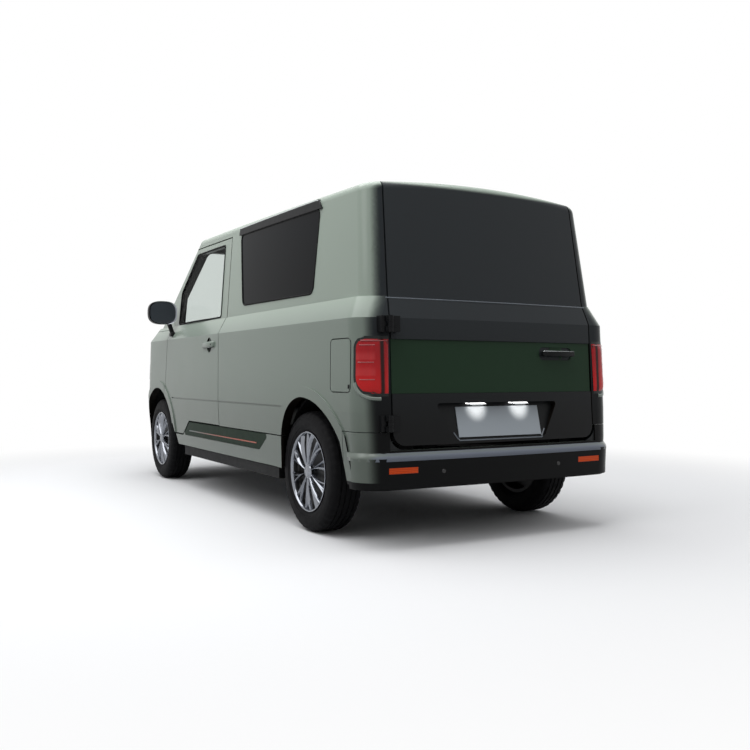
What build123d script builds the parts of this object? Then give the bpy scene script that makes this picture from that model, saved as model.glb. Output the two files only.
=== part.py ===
from build123d import *
import functools
import math
import os

# Electric microvan, in millimetres. The ground is z = 0, +Z is up, the nose points to -Y
# and +X is the vehicle's left. A side-view point is (y, z), a rear-view point is (x, z).

# Wheels and axles
WHEELBASE = 2520
REAR_AXLE_Y = 1230
FRONT_AXLE_Y = REAR_AXLE_Y - WHEELBASE
TYRE_R = 293
TYRE_WIDTH = 165
BEAD_R = 178
RIM_FLANGE_R = 195
RIM_WIDTH = 128
FLANGE_THICK = 7
BARREL_R = 168
HUB_R = 62
HUB_BORE_R = 27
HUB_LENGTH = 46
WHEEL_OUTER_X = 717
WHEEL_X = WHEEL_OUTER_X - TYRE_WIDTH / 2
SPOKES = 9
FIT = 0.3

# Body envelope: inset from the nose and tail planes of each outline
NOSE_Y = -1868
TAIL_Y = 1868
SIDE_BOW = 14
NOSE_BOW = 70
TAIL_BOW = 24
NOSE_CORNER_R = 330
TAIL_CORNER_R = 115
LOWER_ROWS = [
    # z, half width, inset at the nose, inset at the tail
    (262, 729, 25, 25),
    (452, 738, 24, 24),
    (600, 746, 26, 34),
    (1013, 744, 60, 56),
    (1110, 694, 150, 91),
]
UPPER_ROWS = [
    # z, half width, front y, rear y
    (1040, 692, -1630, 1790),
    (1720, 647, -632, 1691),
]
UPPER_BOW_SIDE = 22
UPPER_BOW_FRONT = 55
UPPER_BOW_REAR = 28
UPPER_CORNER_FRONT_R = 90
UPPER_CORNER_REAR_R = 98
SHOULDER_Z = 1110
BONNET_FRONT_Z = 1045
BONNET_SLOPE_Y = -1480
ROOF_TAIL_Z = 1664
ROOF_RISE = 0.0205
ROOF_CROWN_R = 5800
ROOF_EDGE_R = 42
SIDE_WALL = 42

# Gaps
SHUT_GAP = 7
PANEL_GAP = 3
SEAT_GAP = 0.3

# Front door, in the side view
DOOR_REAR_Y = 50
DOOR_FRONT_TOP_Y = -1045
DOOR_FRONT_LOW_Y = -1108
DOOR_TOP_Z = 1618
SILL_TOP_Z = 452
SILL_STEP_Z = 358
SILL_BOTTOM_Z = 284
INSERT_FRONT_Y = -548
INSERT_REAR_Y = 812
INSERT_RUN = 142
WINDOW_SILL_Z = 1120
WINDOW_FRONT_Y = -958
WINDOW_REAR_Y = -62
GLASS = 5
CREASE_Z = 603
CREASE_FRONT_Y = -925
CREASE_REAR_Y = 990
CREASE_WIDTH = 9
CREASE_DEPTH = 6

# Wheel arches
ARCH_FRONT_R = 368
ARCH_FRONT_Y = FRONT_AXLE_Y + 15
ARCH_FRONT_Z = 300
FLARE = 7
FLARE_BAND = 52
TUB_WALL = 4

# Rear door
REAR_DOOR_HALF = 593
REAR_DOOR_TOP_HALF = 566
REAR_DOOR_FOOT_Z = 442
REAR_DOOR_FOOT_R = 70
REAR_DOOR_HINGE = (606, 1842)
ROOF_REAR_SEAM_Y = 1630
ROOF_SEAM_X = 590
LEDGE_Z = 1030
BAND_TOP_Z = 920
BAND_FOOT_Z = 680
BAND_DEPTH = 5
HINGE_LEVELS = (552, 983)
HINGE_TALL = 70
HINGE_PIN_R = 8
PLATE_WIDTH = 480
PLATE_HEIGHT = 140
PLATE_THICK = 4
PLATE_Y = 1818
PLATE_Z = 548
PLATE_LEAN = 13.6

# Nose
NOSE_SEAM_X = 596
BONNET_FRONT_SEAM_Z = 985
BONNET_REAR_SEAM_Y = -1548
COWL_X = 562
COWL_TOP_Z = 1142
BUMPER_TOP_Z = 515
BUMPER_REAR_SEAM_Y = 1640
BUMPER_FRONT_SEAM_Y = -1650
LEDGE_PROUD = 14
LEDGE_LEVELS = (268, 400)
REFLECTOR_X = 540
REFLECTOR_Z = 347
REFLECTOR_SIZE = (144, 26)
REFLECTOR_DEPTH = 6
BUFFER_X = (430, 470)
LAMP_FOOT_Z = 700
LAMP_TOP_Z = 850

# Charge flap
FLAP_FRONT_Y = 1522
FLAP_REAR_Y = 1713
FLAP_FOOT_Z = 683
FLAP_TOP_Z = 926
FLAP_R = 26
FLAP_THICK = 12
FLAP_GAP = 5
FLAP_PIN = (731.5, 1533)
FLAP_PIN_R = 3
POCKET_DEPTH = 30

# Floor and chassis
FLOOR_TOP_Z = 505
FLOOR_THICK = 28
SILL_BOX_X = 596
SEAT_BASE_Z = 690
ROCKER_Z = 224
ROCKER_X = 716
WEB_X = 682
WELL_R = TYRE_R + 28
WELL_X = 722
FLOOR_FRONT_Y = -872
FLOOR_REAR_Y = 1770
BATTERY_REAR_Y = 590
BULKHEAD_Y = -1500
HOUSE_R = 395
HOUSE_X = 392
DOOR_WELL_X = 606
AXLE_TUBE_R = 38
SPRING_X = 470
KINGPIN_LEAN = 0.24
KINGPIN_X = 592
KINGPIN_FOOT_Z = 196
RAIL_TOP_Z = 340
RAIL_X = (250, 320)
BRACKET_X = (300, 380)
BRACKET_TOP_Z = 432
TOW_X = 285
TOW_Z = 297
TOW_BORE_R = 9
TOW_BORE_REAR_Y = -1690


# Plane helpers
def side_prism(face, x_from, x_to):
    """Extrude a side-view face (y, z) along x."""
    return extrude(Plane.YZ.offset(x_from) * face, x_to - x_from)


def rear_prism(face, y_from, y_to):
    """Extrude a rear-view face (x, z) along y."""
    plane = Plane(origin=(0, y_to, 0), x_dir=(1, 0, 0), z_dir=(0, -1, 0))
    return extrude(plane * face, y_to - y_from)


def plan_prism(face, z_from, z_to):
    """Extrude a plan-view face (x, y) along z."""
    return extrude(Plane.XY.offset(z_from) * face, z_to - z_from)


def block(x, y, z):
    """A box from three (low, high) pairs."""
    size = (x[1] - x[0], y[1] - y[0], z[1] - z[0])
    centre = ((x[0] + x[1]) / 2, (y[0] + y[1]) / 2, (z[0] + z[1]) / 2)
    return Pos(*centre) * Box(*size)


def rod(start, end, radius):
    """A round bar between two points."""
    axis = Vector(*end) - Vector(*start)
    plane = Plane(origin=start, z_dir=axis)
    return plane * Cylinder(radius, axis.length, align=(Align.CENTER, Align.CENTER, Align.MIN))


def polygon(points, radius=0):
    """A closed straight-sided face, all its corners rounded if a radius is given."""
    face = make_face(Polyline(*points, close=True))
    if radius:
        face = fillet(face.vertices(), radius)
    return face


def both(part):
    """The part and its mirror image on the other side of the vehicle."""
    return Compound(children=[*part.solids(), *mirror(part, about=Plane.YZ).solids()])


# Body envelope
def plan_outline(z, half, front, rear, bows, radii):
    """One level of the body: four bowed sides and rounded corners."""
    side_bow, front_bow, rear_bow = bows
    front_r, rear_r = radii
    x_corner = half - side_bow
    y_front = front + front_bow
    y_rear = rear - rear_bow
    y_middle = (y_front + y_rear) / 2
    sides = [
        ThreePointArc((-x_corner, y_rear), (0, rear), (x_corner, y_rear)),
        ThreePointArc((x_corner, y_rear), (half, y_middle), (x_corner, y_front)),
        ThreePointArc((x_corner, y_front), (0, front), (-x_corner, y_front)),
        ThreePointArc((-x_corner, y_front), (-half, y_middle), (-x_corner, y_rear)),
    ]
    face = make_face(sides)
    face = fillet(face.vertices().sort_by(Axis.Y)[-2:], rear_r)
    face = fillet(face.vertices().sort_by(Axis.Y)[:2], front_r)
    return Pos(0, 0, z) * face


@functools.cache
def lower_body(inset):
    """Body below the shoulder, its bonnet plane sloping to the nose."""
    bows = (SIDE_BOW, NOSE_BOW, TAIL_BOW)
    radii = (NOSE_CORNER_R - inset, TAIL_CORNER_R - inset)
    levels = []
    for z, half, nose_in, tail_in in LOWER_ROWS:
        front = NOSE_Y + nose_in + inset
        rear = TAIL_Y - tail_in - inset
        levels.append(plan_outline(z, half - inset, front, rear, bows, radii))
    top = SHOULDER_Z - max(inset, 0)
    side = [
        (NOSE_Y - 50, 0),
        (TAIL_Y + 50, 0),
        (TAIL_Y + 50, top),
        (BONNET_SLOPE_Y, top),
        (NOSE_Y - 50, BONNET_FRONT_Z - max(inset, 0)),
    ]
    return loft(levels, ruled=True) & side_prism(polygon(side), -900, 900)


def roof_cutter(inset):
    """Solid below the roof: crowned across, rising gently towards the front."""
    radius = ROOF_CROWN_R - inset
    reach = UPPER_ROWS[0][1] + 60
    drop = radius - math.sqrt(radius**2 - reach**2)
    low = -900
    arc = ThreePointArc((-reach, -drop), (0, 0), (reach, -drop))
    frame = Polyline((reach, -drop), (reach, low), (-reach, low), (-reach, -drop))
    profile = make_face([arc, *frame.edges()])
    length = TAIL_Y - NOSE_Y
    plane = Plane(
        origin=(0, TAIL_Y, ROOF_TAIL_Z - inset - (TAIL_Y - UPPER_ROWS[1][3]) * ROOF_RISE),
        x_dir=(1, 0, 0),
        z_dir=(0, -1, ROOF_RISE),
    )
    return extrude(plane * profile, length)


@functools.cache
def upper_body(inset):
    """Greenhouse from the shoulder to the roof, its roof edge rounded."""
    bows = (UPPER_BOW_SIDE, UPPER_BOW_FRONT, UPPER_BOW_REAR)
    radii = (UPPER_CORNER_FRONT_R - inset, UPPER_CORNER_REAR_R - inset)
    levels = []
    for z, half, front, rear in UPPER_ROWS:
        levels.append(plan_outline(z, half - inset, front + inset, rear - inset, bows, radii))
    body = loft(levels, ruled=True) & roof_cutter(inset)
    rim = body.edges().filter_by(lambda e: e.center().Z > ROOF_TAIL_Z - 80 - inset)
    return fillet(rim, ROOF_EDGE_R - min(max(inset, 0), ROOF_EDGE_R - 8))


@functools.cache
def envelope(inset):
    """The whole closed body form, moved inwards by inset."""
    return lower_body(inset) + upper_body(inset)


# Side-view outlines
def offset_face(face, amount):
    """Grow (positive) or shrink (negative) a face."""
    return offset(face, amount, kind=Kind.INTERSECTION)


def door_face():
    """Front door opening."""
    return polygon(
        [
            (DOOR_REAR_Y, SILL_TOP_Z),
            (INSERT_FRONT_Y, SILL_TOP_Z),
            (INSERT_FRONT_Y - INSERT_RUN, SILL_STEP_Z),
            (DOOR_FRONT_LOW_Y, SILL_STEP_Z),
            (DOOR_FRONT_LOW_Y, CREASE_Z),
            (DOOR_FRONT_TOP_Y, 1010),
            (DOOR_FRONT_TOP_Y - 28, 1118),
            (-1170, 1262),
            (-1148, 1300),
            (-735, DOOR_TOP_Z - 32),
            (-672, DOOR_TOP_Z + 3),
            (DOOR_REAR_Y, DOOR_TOP_Z - 14),
        ]
    )


def window_face():
    """Front door window."""
    face = polygon(
        [
            (WINDOW_REAR_Y, WINDOW_SILL_Z),
            (WINDOW_FRONT_Y, WINDOW_SILL_Z),
            (WINDOW_FRONT_Y, 1345),
            (-650, 1580),
            (WINDOW_REAR_Y - 6, 1568),
        ],
        14,
    )
    return face


def side_window_face():
    """Rear side window: a dark fixed pane with a slanted front edge."""
    return polygon([(1216, 1160), (298, 1168), (204, 1590), (1246, 1572)], 26)


def front_arch_face():
    """Front wheel arch with its slanted rear flank."""
    circle = Pos(ARCH_FRONT_Y, ARCH_FRONT_Z) * Circle(ARCH_FRONT_R)
    foot = polygon(
        [
            (ARCH_FRONT_Y - ARCH_FRONT_R, ARCH_FRONT_Z),
            (ARCH_FRONT_Y - ARCH_FRONT_R - 8, 100),
            (ARCH_FRONT_Y + ARCH_FRONT_R + 160, 100),
            (ARCH_FRONT_Y + ARCH_FRONT_R + 105, SILL_BOTTOM_Z),
            (ARCH_FRONT_Y + ARCH_FRONT_R - 8, ARCH_FRONT_Z + 125),
        ]
    )
    return circle + foot


def rear_arch_face():
    """Rear wheel arch: steep in front, flat on top, drawn out behind."""
    y = REAR_AXLE_Y
    lines = [
        Line((y + 445, 100), (y - 268, 100)),
        Line((y - 268, 100), (y - 252, 430)),
        ThreePointArc((y - 252, 430), (y - 165, 596), (y + 5, 655)),
        ThreePointArc((y + 5, 655), (y + 225, 598), (y + 385, 465)),
        Line((y + 385, 465), (y + 445, 270)),
        Line((y + 445, 270), (y + 445, 100)),
    ]
    return make_face(lines)


def sill_face():
    """Sill cover below the doors, from arch to arch."""
    return polygon(
        [
            (FRONT_AXLE_Y, SILL_BOTTOM_Z),
            (REAR_AXLE_Y, SILL_BOTTOM_Z),
            (REAR_AXLE_Y, SILL_TOP_Z),
            (INSERT_FRONT_Y, SILL_TOP_Z),
            (INSERT_FRONT_Y - INSERT_RUN, SILL_STEP_Z),
            (FRONT_AXLE_Y, SILL_STEP_Z),
        ]
    )


def insert_face():
    """Dark inlay in the sill."""
    return polygon(
        [
            (INSERT_FRONT_Y - INSERT_RUN, SILL_STEP_Z),
            (INSERT_REAR_Y - INSERT_RUN, SILL_STEP_Z),
            (INSERT_REAR_Y, SILL_TOP_Z),
            (INSERT_FRONT_Y, SILL_TOP_Z),
        ],
        16,
    )


def flap_face():
    """Charge flap."""
    return polygon(
        [
            (FLAP_FRONT_Y, FLAP_FOOT_Z),
            (FLAP_REAR_Y, FLAP_FOOT_Z),
            (FLAP_REAR_Y, FLAP_TOP_Z),
            (FLAP_FRONT_Y, FLAP_TOP_Z),
        ],
        FLAP_R,
    )


def slide_door_face():
    """Sliding side door on the right, between the front door and the rear arch."""
    return polygon(
        [
            (DOOR_REAR_Y + 72, SILL_TOP_Z),
            (REAR_AXLE_Y - 262, SILL_TOP_Z),
            (REAR_AXLE_Y - 240, 600),
            (REAR_AXLE_Y - 130, 700),
            (REAR_AXLE_Y - 60, 760),
            (REAR_AXLE_Y - 60, DOOR_TOP_Z - 30),
            (DOOR_REAR_Y + 72, DOOR_TOP_Z - 14),
        ],
        20,
    )


def slide_window_face():
    """Window of the sliding door."""
    y_rear = REAR_AXLE_Y - 150
    return polygon([(y_rear, 1160), (298, 1168), (204, 1575), (y_rear, 1560)], 26)


def rail_face():
    """Dark rail along the roof edge above the side window."""
    return polygon([(190, 1590), (196, 1632), (1232, 1622), (1272, 1572)])


# Rear-view outlines
def rear_door_face():
    """Rear door: wide below the ledge, narrower to the roof."""
    face = polygon(
        [
            (-REAR_DOOR_HALF, REAR_DOOR_FOOT_Z),
            (REAR_DOOR_HALF, REAR_DOOR_FOOT_Z),
            (REAR_DOOR_HALF, LEDGE_Z),
            (REAR_DOOR_TOP_HALF + 18, SHOULDER_Z),
            (REAR_DOOR_TOP_HALF, 1720),
            (-REAR_DOOR_TOP_HALF, 1720),
            (-REAR_DOOR_TOP_HALF - 18, SHOULDER_Z),
            (-REAR_DOOR_HALF, LEDGE_Z),
        ]
    )
    return fillet(face.vertices().sort_by(Axis.Y)[:2], REAR_DOOR_FOOT_R)


def rear_door_cut(growth):
    """Rear door's tapered cutter, so that its edges clear the opening as it swings."""
    face = offset_face(rear_door_face(), growth)
    plane = Plane(origin=(0, TAIL_Y + 40, 0), x_dir=(1, 0, 0), z_dir=(0, -1, 0))
    return extrude(plane * face, TAIL_Y + 40 - ROOF_REAR_SEAM_Y + growth, taper=3)


# Wheels
def tyre(x, y):
    """Tyre with rounded shoulders, open at the beads."""
    half = TYRE_WIDTH / 2
    bead = half - (TYRE_WIDTH - RIM_WIDTH) / 2 - FLANGE_THICK - 2 * FIT
    profile = make_face(
        [
            Line((-bead, BEAD_R), (-bead, RIM_FLANGE_R + 3)),
            Line((-bead, RIM_FLANGE_R + 3), (-half + 2, 222)),
            ThreePointArc((-half + 2, 222), (-half + 3, 252), (-half + 22, TYRE_R - 6)),
            ThreePointArc((-half + 22, TYRE_R - 6), (0, TYRE_R), (half - 22, TYRE_R - 6)),
            ThreePointArc((half - 22, TYRE_R - 6), (half - 3, 252), (half - 2, 222)),
            Line((half - 2, 222), (bead, RIM_FLANGE_R + 3)),
            Line((bead, RIM_FLANGE_R + 3), (bead, BEAD_R)),
            Line((bead, BEAD_R), (bead - 14, BEAD_R)),
            Line((bead - 14, BEAD_R), (half - 20, 232)),
            Line((half - 20, 232), (half - 34, TYRE_R - 19)),
            Line((half - 34, TYRE_R - 19), (-half + 34, TYRE_R - 19)),
            Line((-half + 34, TYRE_R - 19), (-half + 20, 232)),
            Line((-half + 20, 232), (-bead + 14, BEAD_R)),
            Line((-bead + 14, BEAD_R), (-bead, BEAD_R)),
        ]
    )
    ring = revolve(profile, Axis.X, 360)
    return Pos(x, y, TYRE_R) * ring


def wheel(x, y, side):
    """Rim with a spoked face; side is +1 where the face looks to +X."""
    half = RIM_WIDTH / 2
    barrel = revolve(
        make_face(
            Polyline(
                (-half, BARREL_R),
                (-half, RIM_FLANGE_R - 8),
                (-half + FLANGE_THICK, RIM_FLANGE_R - 8),
                (-half + FLANGE_THICK, BEAD_R - FIT),
                (half - FLANGE_THICK, BEAD_R - FIT),
                (half - FLANGE_THICK, RIM_FLANGE_R),
                (half, RIM_FLANGE_R),
                (half, RIM_FLANGE_R - 12),
                (half - 8, BARREL_R - 2),
                (half - 30, BARREL_R - 6),
                (-half + 8, BARREL_R - 2),
                close=True,
            )
        ),
        Axis.X,
        360,
    )
    face_x = half - 16
    disc = Pos(face_x - 14, 0, 0) * Rot(0, 90, 0) * Cylinder(HUB_R, 30)
    cap = Pos(face_x + 3, 0, 0) * Rot(0, 90, 0) * Cone(34, 27, 10)
    hub = Pos(face_x - 29 - HUB_LENGTH / 2, 0, 0) * Rot(0, 90, 0) * Cylinder(HUB_R - 8, HUB_LENGTH)
    body = barrel + disc + cap + hub
    spoke = polygon([(-17, 40), (17, 40), (11, 110), (23, BARREL_R + 2), (-23, BARREL_R + 2), (-11, 110)])
    bar = side_prism(spoke, face_x - 22, face_x)
    for i in range(SPOKES):
        body += Rot(360 * i / SPOKES, 0, 0) * bar
    bore = Pos(face_x - 70, 0, 0) * Rot(0, 90, 0) * Cylinder(HUB_BORE_R, 90)
    body -= bore
    if side < 0:
        body = mirror(body, about=Plane.YZ)
    return Pos(x, y, TYRE_R) * body


# Chassis
def floor_pan():
    """Floor plate, sill boxes, rear wheel tubs and seat boxes."""
    low = FLOOR_TOP_Z - FLOOR_THICK
    plate = block((-SILL_BOX_X, SILL_BOX_X), (FLOOR_FRONT_Y, FLOOR_REAR_Y), (low, FLOOR_TOP_Z))
    y_sill = (-700, 900)
    rocker = block((SILL_BOX_X - 60, ROCKER_X), y_sill, (ROCKER_Z, SILL_BOTTOM_Z - 4))
    web = block((SILL_BOX_X - 60, WEB_X), y_sill, (SILL_BOTTOM_Z - 6, FLOOR_TOP_Z))
    tub_r = 385
    tub_x = 500
    centre = (REAR_AXLE_Y + 70, TYRE_R)
    drum = rod((tub_x, *centre), (WEB_X - 4, *centre), tub_r)
    seat = block((SILL_BOX_X, 900), (-680, 900), (SILL_BOTTOM_Z - 6, SILL_STEP_Z - 6))
    web += seat & lower_body(SIDE_WALL + SEAT_GAP)
    bracket = block(BRACKET_X, (1640, 1900), (BRACKET_TOP_Z - 50, BRACKET_TOP_Z))
    bracket = bracket & lower_body(SIDE_WALL + SEAT_GAP)
    bracket += block(BRACKET_X, (1640, 1740), (BRACKET_TOP_Z - 2, low + 2))
    inner = rod((tub_x + TUB_WALL * 3, *centre), (900, *centre), tub_r - TUB_WALL * 3)
    keep = block((0, 900), (0, 1800), (low - 120, 900))
    tub = (drum & keep) - inner
    right = tub + rocker + web + bracket
    pan = plate - both(inner)
    pan = pan + right + flip(right)
    for x in (-380, 380):
        pan += block((x - 215, x + 215), (-640, -180), (FLOOR_TOP_Z - 5, SEAT_BASE_Z))
    return pan


def front_bulkhead():
    """Wall before the cabin, with the cowl and the wheel houses, clear of the opening doors."""
    wall_foot = RAIL_TOP_Z + SEAT_GAP
    wall = block((-800, 800), (BULKHEAD_Y, BULKHEAD_Y + 12), (wall_foot, SHOULDER_Z - 30))
    centre = (ARCH_FRONT_Y, TYRE_R + 8)
    drum = rod((HOUSE_X, *centre), (WEB_X, *centre), HOUSE_R)
    hollow = rod((HOUSE_X + 10, *centre), (900, *centre), HOUSE_R - 10)
    keep = block((0, 900), (-1800, -700), (wall_foot, 900))
    house = (drum & keep) - hollow
    wall = wall - both(hollow)
    toe = block(
        (-HOUSE_X - 5, HOUSE_X + 5),
        (BULKHEAD_Y, FLOOR_FRONT_Y - SEAT_GAP),
        (FLOOR_TOP_Z - FLOOR_THICK, FLOOR_TOP_Z - 4),
    )
    body = (wall + house + flip(house) + toe) & envelope(SIDE_WALL + SEAT_GAP)
    cowl = SHELL & block(
        (-COWL_X + PANEL_GAP, COWL_X - PANEL_GAP),
        (BONNET_REAR_SEAM_Y + SHUT_GAP, -1300),
        (SHOULDER_Z - 60, COWL_TOP_Z + 60),
    )
    cowl = keep_largest(cowl - windscreen_prism(0))
    neck = block((-540, 540), (BULKHEAD_Y, BULKHEAD_Y + 12), (SHOULDER_Z - 40, SHOULDER_Z - 25))
    door_well = block((DOOR_WELL_X, 900), (DOOR_FRONT_LOW_Y - 15, FLOOR_FRONT_Y + 20), (0, SHOULDER_Z))
    return body + cowl + neck - both(door_well)


def battery_pack():
    """Traction battery tray under the floor."""
    tray = block((-425, 425), (-760, BATTERY_REAR_Y), (228, FLOOR_TOP_Z - FLOOR_THICK - 20))
    tray = chamfer(tray.edges().filter_by(Axis.Z), 40)
    rim = block((-SILL_BOX_X + 60 + SEAT_GAP, SILL_BOX_X - 60 - SEAT_GAP), (-690, BATTERY_REAR_Y - 40), (300, 324))
    return tray + rim


def rear_axle():
    """Beam axle with its drive unit in the middle."""
    end = WHEEL_X + RIM_WIDTH / 2 - 16 - 29 - HUB_LENGTH - SEAT_GAP
    tube = rod((-end, REAR_AXLE_Y, TYRE_R), (end, REAR_AXLE_Y, TYRE_R), AXLE_TUBE_R)
    stub_end = WHEEL_X + RIM_WIDTH / 2 - 16 - 30
    stub = rod((-stub_end, REAR_AXLE_Y, TYRE_R), (stub_end, REAR_AXLE_Y, TYRE_R), HUB_BORE_R - FIT)
    drum = rod((95, REAR_AXLE_Y, TYRE_R), (150, REAR_AXLE_Y, TYRE_R), 118)
    motor = rod((-190, REAR_AXLE_Y - 60, TYRE_R + 10), (95, REAR_AXLE_Y - 60, TYRE_R + 10), 92)
    gear = block((80, 150), (REAR_AXLE_Y - 190, REAR_AXLE_Y + 60), (TYRE_R - 85, TYRE_R + 100))
    body = tube + stub + drum + motor + gear
    for x in (-SPRING_X, SPRING_X):
        body += block((x - 38, x + 38), (REAR_AXLE_Y - 60, REAR_AXLE_Y + 60), (TYRE_R - 8, TYRE_R + AXLE_TUBE_R + 6))
    return body


def leaf_springs():
    """Leaf pack on each side with its hanger and shackle blocks up to the floor."""
    top = TYRE_R + AXLE_TUBE_R + 6 + SEAT_GAP
    y = REAR_AXLE_Y
    ceiling = FLOOR_TOP_Z - FLOOR_THICK - SEAT_GAP
    arc_up = ThreePointArc((y - 560, top + 78), (y, top), (y + 500, top + 70))
    arc_down = ThreePointArc((y + 500, top + 90), (y, top + 22), (y - 560, top + 98))
    leaf = make_face(
        [
            arc_up,
            Line((y + 500, top + 70), (y + 500, top + 90)),
            arc_down,
            Line((y - 560, top + 98), (y - 560, top + 78)),
        ]
    )
    pack = side_prism(leaf, SPRING_X - 30, SPRING_X + 30)
    front = block((SPRING_X - 38, SPRING_X + 38), (y - 590, y - 530), (top + 60, ceiling))
    rear = block((SPRING_X - 38, SPRING_X + 38), (y + 470, y + 520), (top + 50, ceiling))
    return both(pack + front + rear)


def kingpin_plane(z):
    """Plane square to the left kingpin axis where it passes height z."""
    x = KINGPIN_X - (z - KINGPIN_FOOT_Z) * KINGPIN_LEAN
    return Plane(origin=(x, FRONT_AXLE_Y, z), z_dir=(-KINGPIN_LEAN, 0, 1))


def knuckle_left():
    """Steering knuckle: leaning upright with the stub axle that carries the front wheel."""
    upright = kingpin_plane(KINGPIN_FOOT_Z + 22) * Cylinder(
        24, 210, align=(Align.CENTER, Align.CENTER, Align.MIN)
    )
    stub_end = WHEEL_X + RIM_WIDTH / 2 - 16 - 30
    stub_root = KINGPIN_X - (TYRE_R - KINGPIN_FOOT_Z) * KINGPIN_LEAN
    stub = rod((stub_root, FRONT_AXLE_Y, TYRE_R), (stub_end, FRONT_AXLE_Y, TYRE_R), HUB_BORE_R - FIT)
    flange_end = WHEEL_X + RIM_WIDTH / 2 - 16 - 29 - HUB_LENGTH - SEAT_GAP
    flange = rod((stub_root, FRONT_AXLE_Y, TYRE_R), (flange_end, FRONT_AXLE_Y, TYRE_R), 40)
    return upright + stub + flange


def front_suspension():
    """Cross-member, lower arms to the ball joints, and the struts above the knuckles."""
    member = block((-300, 300), (FRONT_AXLE_Y - 70, FRONT_AXLE_Y + 70), (190, 262))
    plane = kingpin_plane(KINGPIN_FOOT_Z)
    joint = plane * Cylinder(22, 22 * 1.02, align=(Align.CENTER, Align.CENTER, Align.MIN))
    arm = polygon([(280, FRONT_AXLE_Y - 130), (KINGPIN_X + 14, FRONT_AXLE_Y), (280, FRONT_AXLE_Y + 130)], 12)
    arm = plan_prism(arm, 184, 206)
    sub = member + both(arm + joint)
    rails = block(RAIL_X, (NOSE_Y, -1135), (LOWER_ROWS[0][0], RAIL_TOP_Z))
    rails = rails & lower_body(SIDE_WALL + SEAT_GAP)
    posts = block(RAIL_X, (-1200, -1140), (RAIL_TOP_Z - 10, FLOOR_TOP_Z - FLOOR_THICK - SEAT_GAP))
    sub = sub + both(rails + posts)
    return sub - rod((TOW_X, NOSE_Y, TOW_Z), (TOW_X, TOW_BORE_REAR_Y, TOW_Z), TOW_BORE_R)


def struts():
    """Front struts from above the knuckles to the wheel-house tops."""
    foot = KINGPIN_FOOT_Z + 22 + 210 * math.cos(math.atan(KINGPIN_LEAN)) + 1
    plane = kingpin_plane(foot)
    tube = plane * Cylinder(19, HOUSE_R, align=(Align.CENTER, Align.CENTER, Align.MIN))
    below_house = rod((HOUSE_X, ARCH_FRONT_Y, TYRE_R + 8), (WEB_X, ARCH_FRONT_Y, TYRE_R + 8), HOUSE_R - 10 - SEAT_GAP)
    return both(tube & below_house)


def seat(x):
    """One front seat: squab and backrest in one soft form."""
    squab = block((x - 235, x + 235), (-660, -180), (SEAT_BASE_Z + SEAT_GAP, 800))
    squab = fillet(squab.edges().filter_by(Axis.Z), 50)
    side = polygon([(-250, 790), (-150, 790), (-30, 1240), (-115, 1262)], 22)
    back = side_prism(side, x - 225, x + 225)
    head = side_prism(polygon([(-112, 1290), (-30, 1272), (-12, 1400), (-84, 1418)], 18), x - 125, x + 125)
    post = side_prism(polygon([(-80, 1230), (-60, 1226), (-42, 1300), (-62, 1304)]), x - 60, x + 60)
    return squab + back + head + post


def dashboard():
    """Dashboard beam with its binnacle and the steering column."""
    front = BULKHEAD_Y + 12 + SEAT_GAP
    side = make_face(
        [
            Line((front, 1030), (-1050, 1035)),
            ThreePointArc((-1050, 1035), (-1002, 1005), (-1008, 950)),
            Line((-1008, 950), (-1060, 800)),
            Line((-1060, 800), (front, 780)),
            Line((front, 780), (front, 1030)),
        ]
    )
    beam = side_prism(side, -620, 620)
    hood = side_prism(polygon([(-1230, 1030), (-1040, 1030), (-1030, 1085), (-1110, 1092)], 12), 240, 510)
    column = rod((375, -1060, 850), (375, -905, 935), 26)
    return beam + hood + column


def steering_wheel():
    """Steering wheel rim, spokes and hub on the column's axis."""
    rim = Torus(185, 14)
    hub = Cylinder(52, 36)
    bars = Box(350, 34, 16) + Pos(0, -90, 0) * Box(38, 170, 16)
    wheel_body = rim + hub + bars
    return column_plane() * wheel_body


def column_plane():
    """Plane of the steering wheel, square to the column."""
    axis = Vector(0, 155, 85).normalized()
    start = Vector(375, -905, 935) + axis * (18 + SEAT_GAP)
    return Plane(origin=start, x_dir=(1, 0, 0), z_dir=axis)


def flare_bands():
    """Raised lip round both arches on the left."""
    front = Pos(ARCH_FRONT_Y, ARCH_FRONT_Z) * Circle(ARCH_FRONT_R + FLARE_BAND)
    rear = offset(rear_arch_face(), FLARE_BAND, kind=Kind.ARC)
    bands = side_prism(front, 500, 900) + side_prism(rear, 500, 900)
    above = block((500, 900), (-2000, 2000), (LOWER_ROWS[0][0] + 20, 900))
    return (lower_body(-FLARE) - lower_body(4)) & bands & above


def body_shell(outer, inner):
    """Hollow body with its arch lips, open arches and side crease."""
    flares = flare_bands()
    arches = side_prism(front_arch_face(), 480, 900) + side_prism(rear_arch_face(), 480, 900)
    arches += rod((480, REAR_AXLE_Y, TYRE_R), (WELL_X, REAR_AXLE_Y, TYRE_R), WELL_R)
    groove = polygon(
        [
            (CREASE_FRONT_Y, CREASE_Z - CREASE_WIDTH / 2),
            (CREASE_REAR_Y, CREASE_Z - CREASE_WIDTH / 2),
            (CREASE_REAR_Y, CREASE_Z + CREASE_WIDTH / 2),
            (CREASE_FRONT_Y, CREASE_Z + CREASE_WIDTH / 2),
        ]
    )
    crease = side_prism(groove, 500, 900) - lower_body(CREASE_DEPTH)
    shell = outer - inner + flares + mirror(flares, about=Plane.YZ)
    shell = shell - arches - mirror(arches, about=Plane.YZ)
    return shell - crease - mirror(crease, about=Plane.YZ)


def flip(part):
    """The mirror image on the vehicle's right."""
    return mirror(part, about=Plane.YZ)


OUTER = envelope(0)
INNER = envelope(SIDE_WALL)
SHELL = body_shell(OUTER, INNER)
UPPER_GLASS = upper_body(1) - upper_body(1 + GLASS)
LAMP_SKIN = lower_body(-3) - lower_body(SIDE_WALL - 8)

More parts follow.
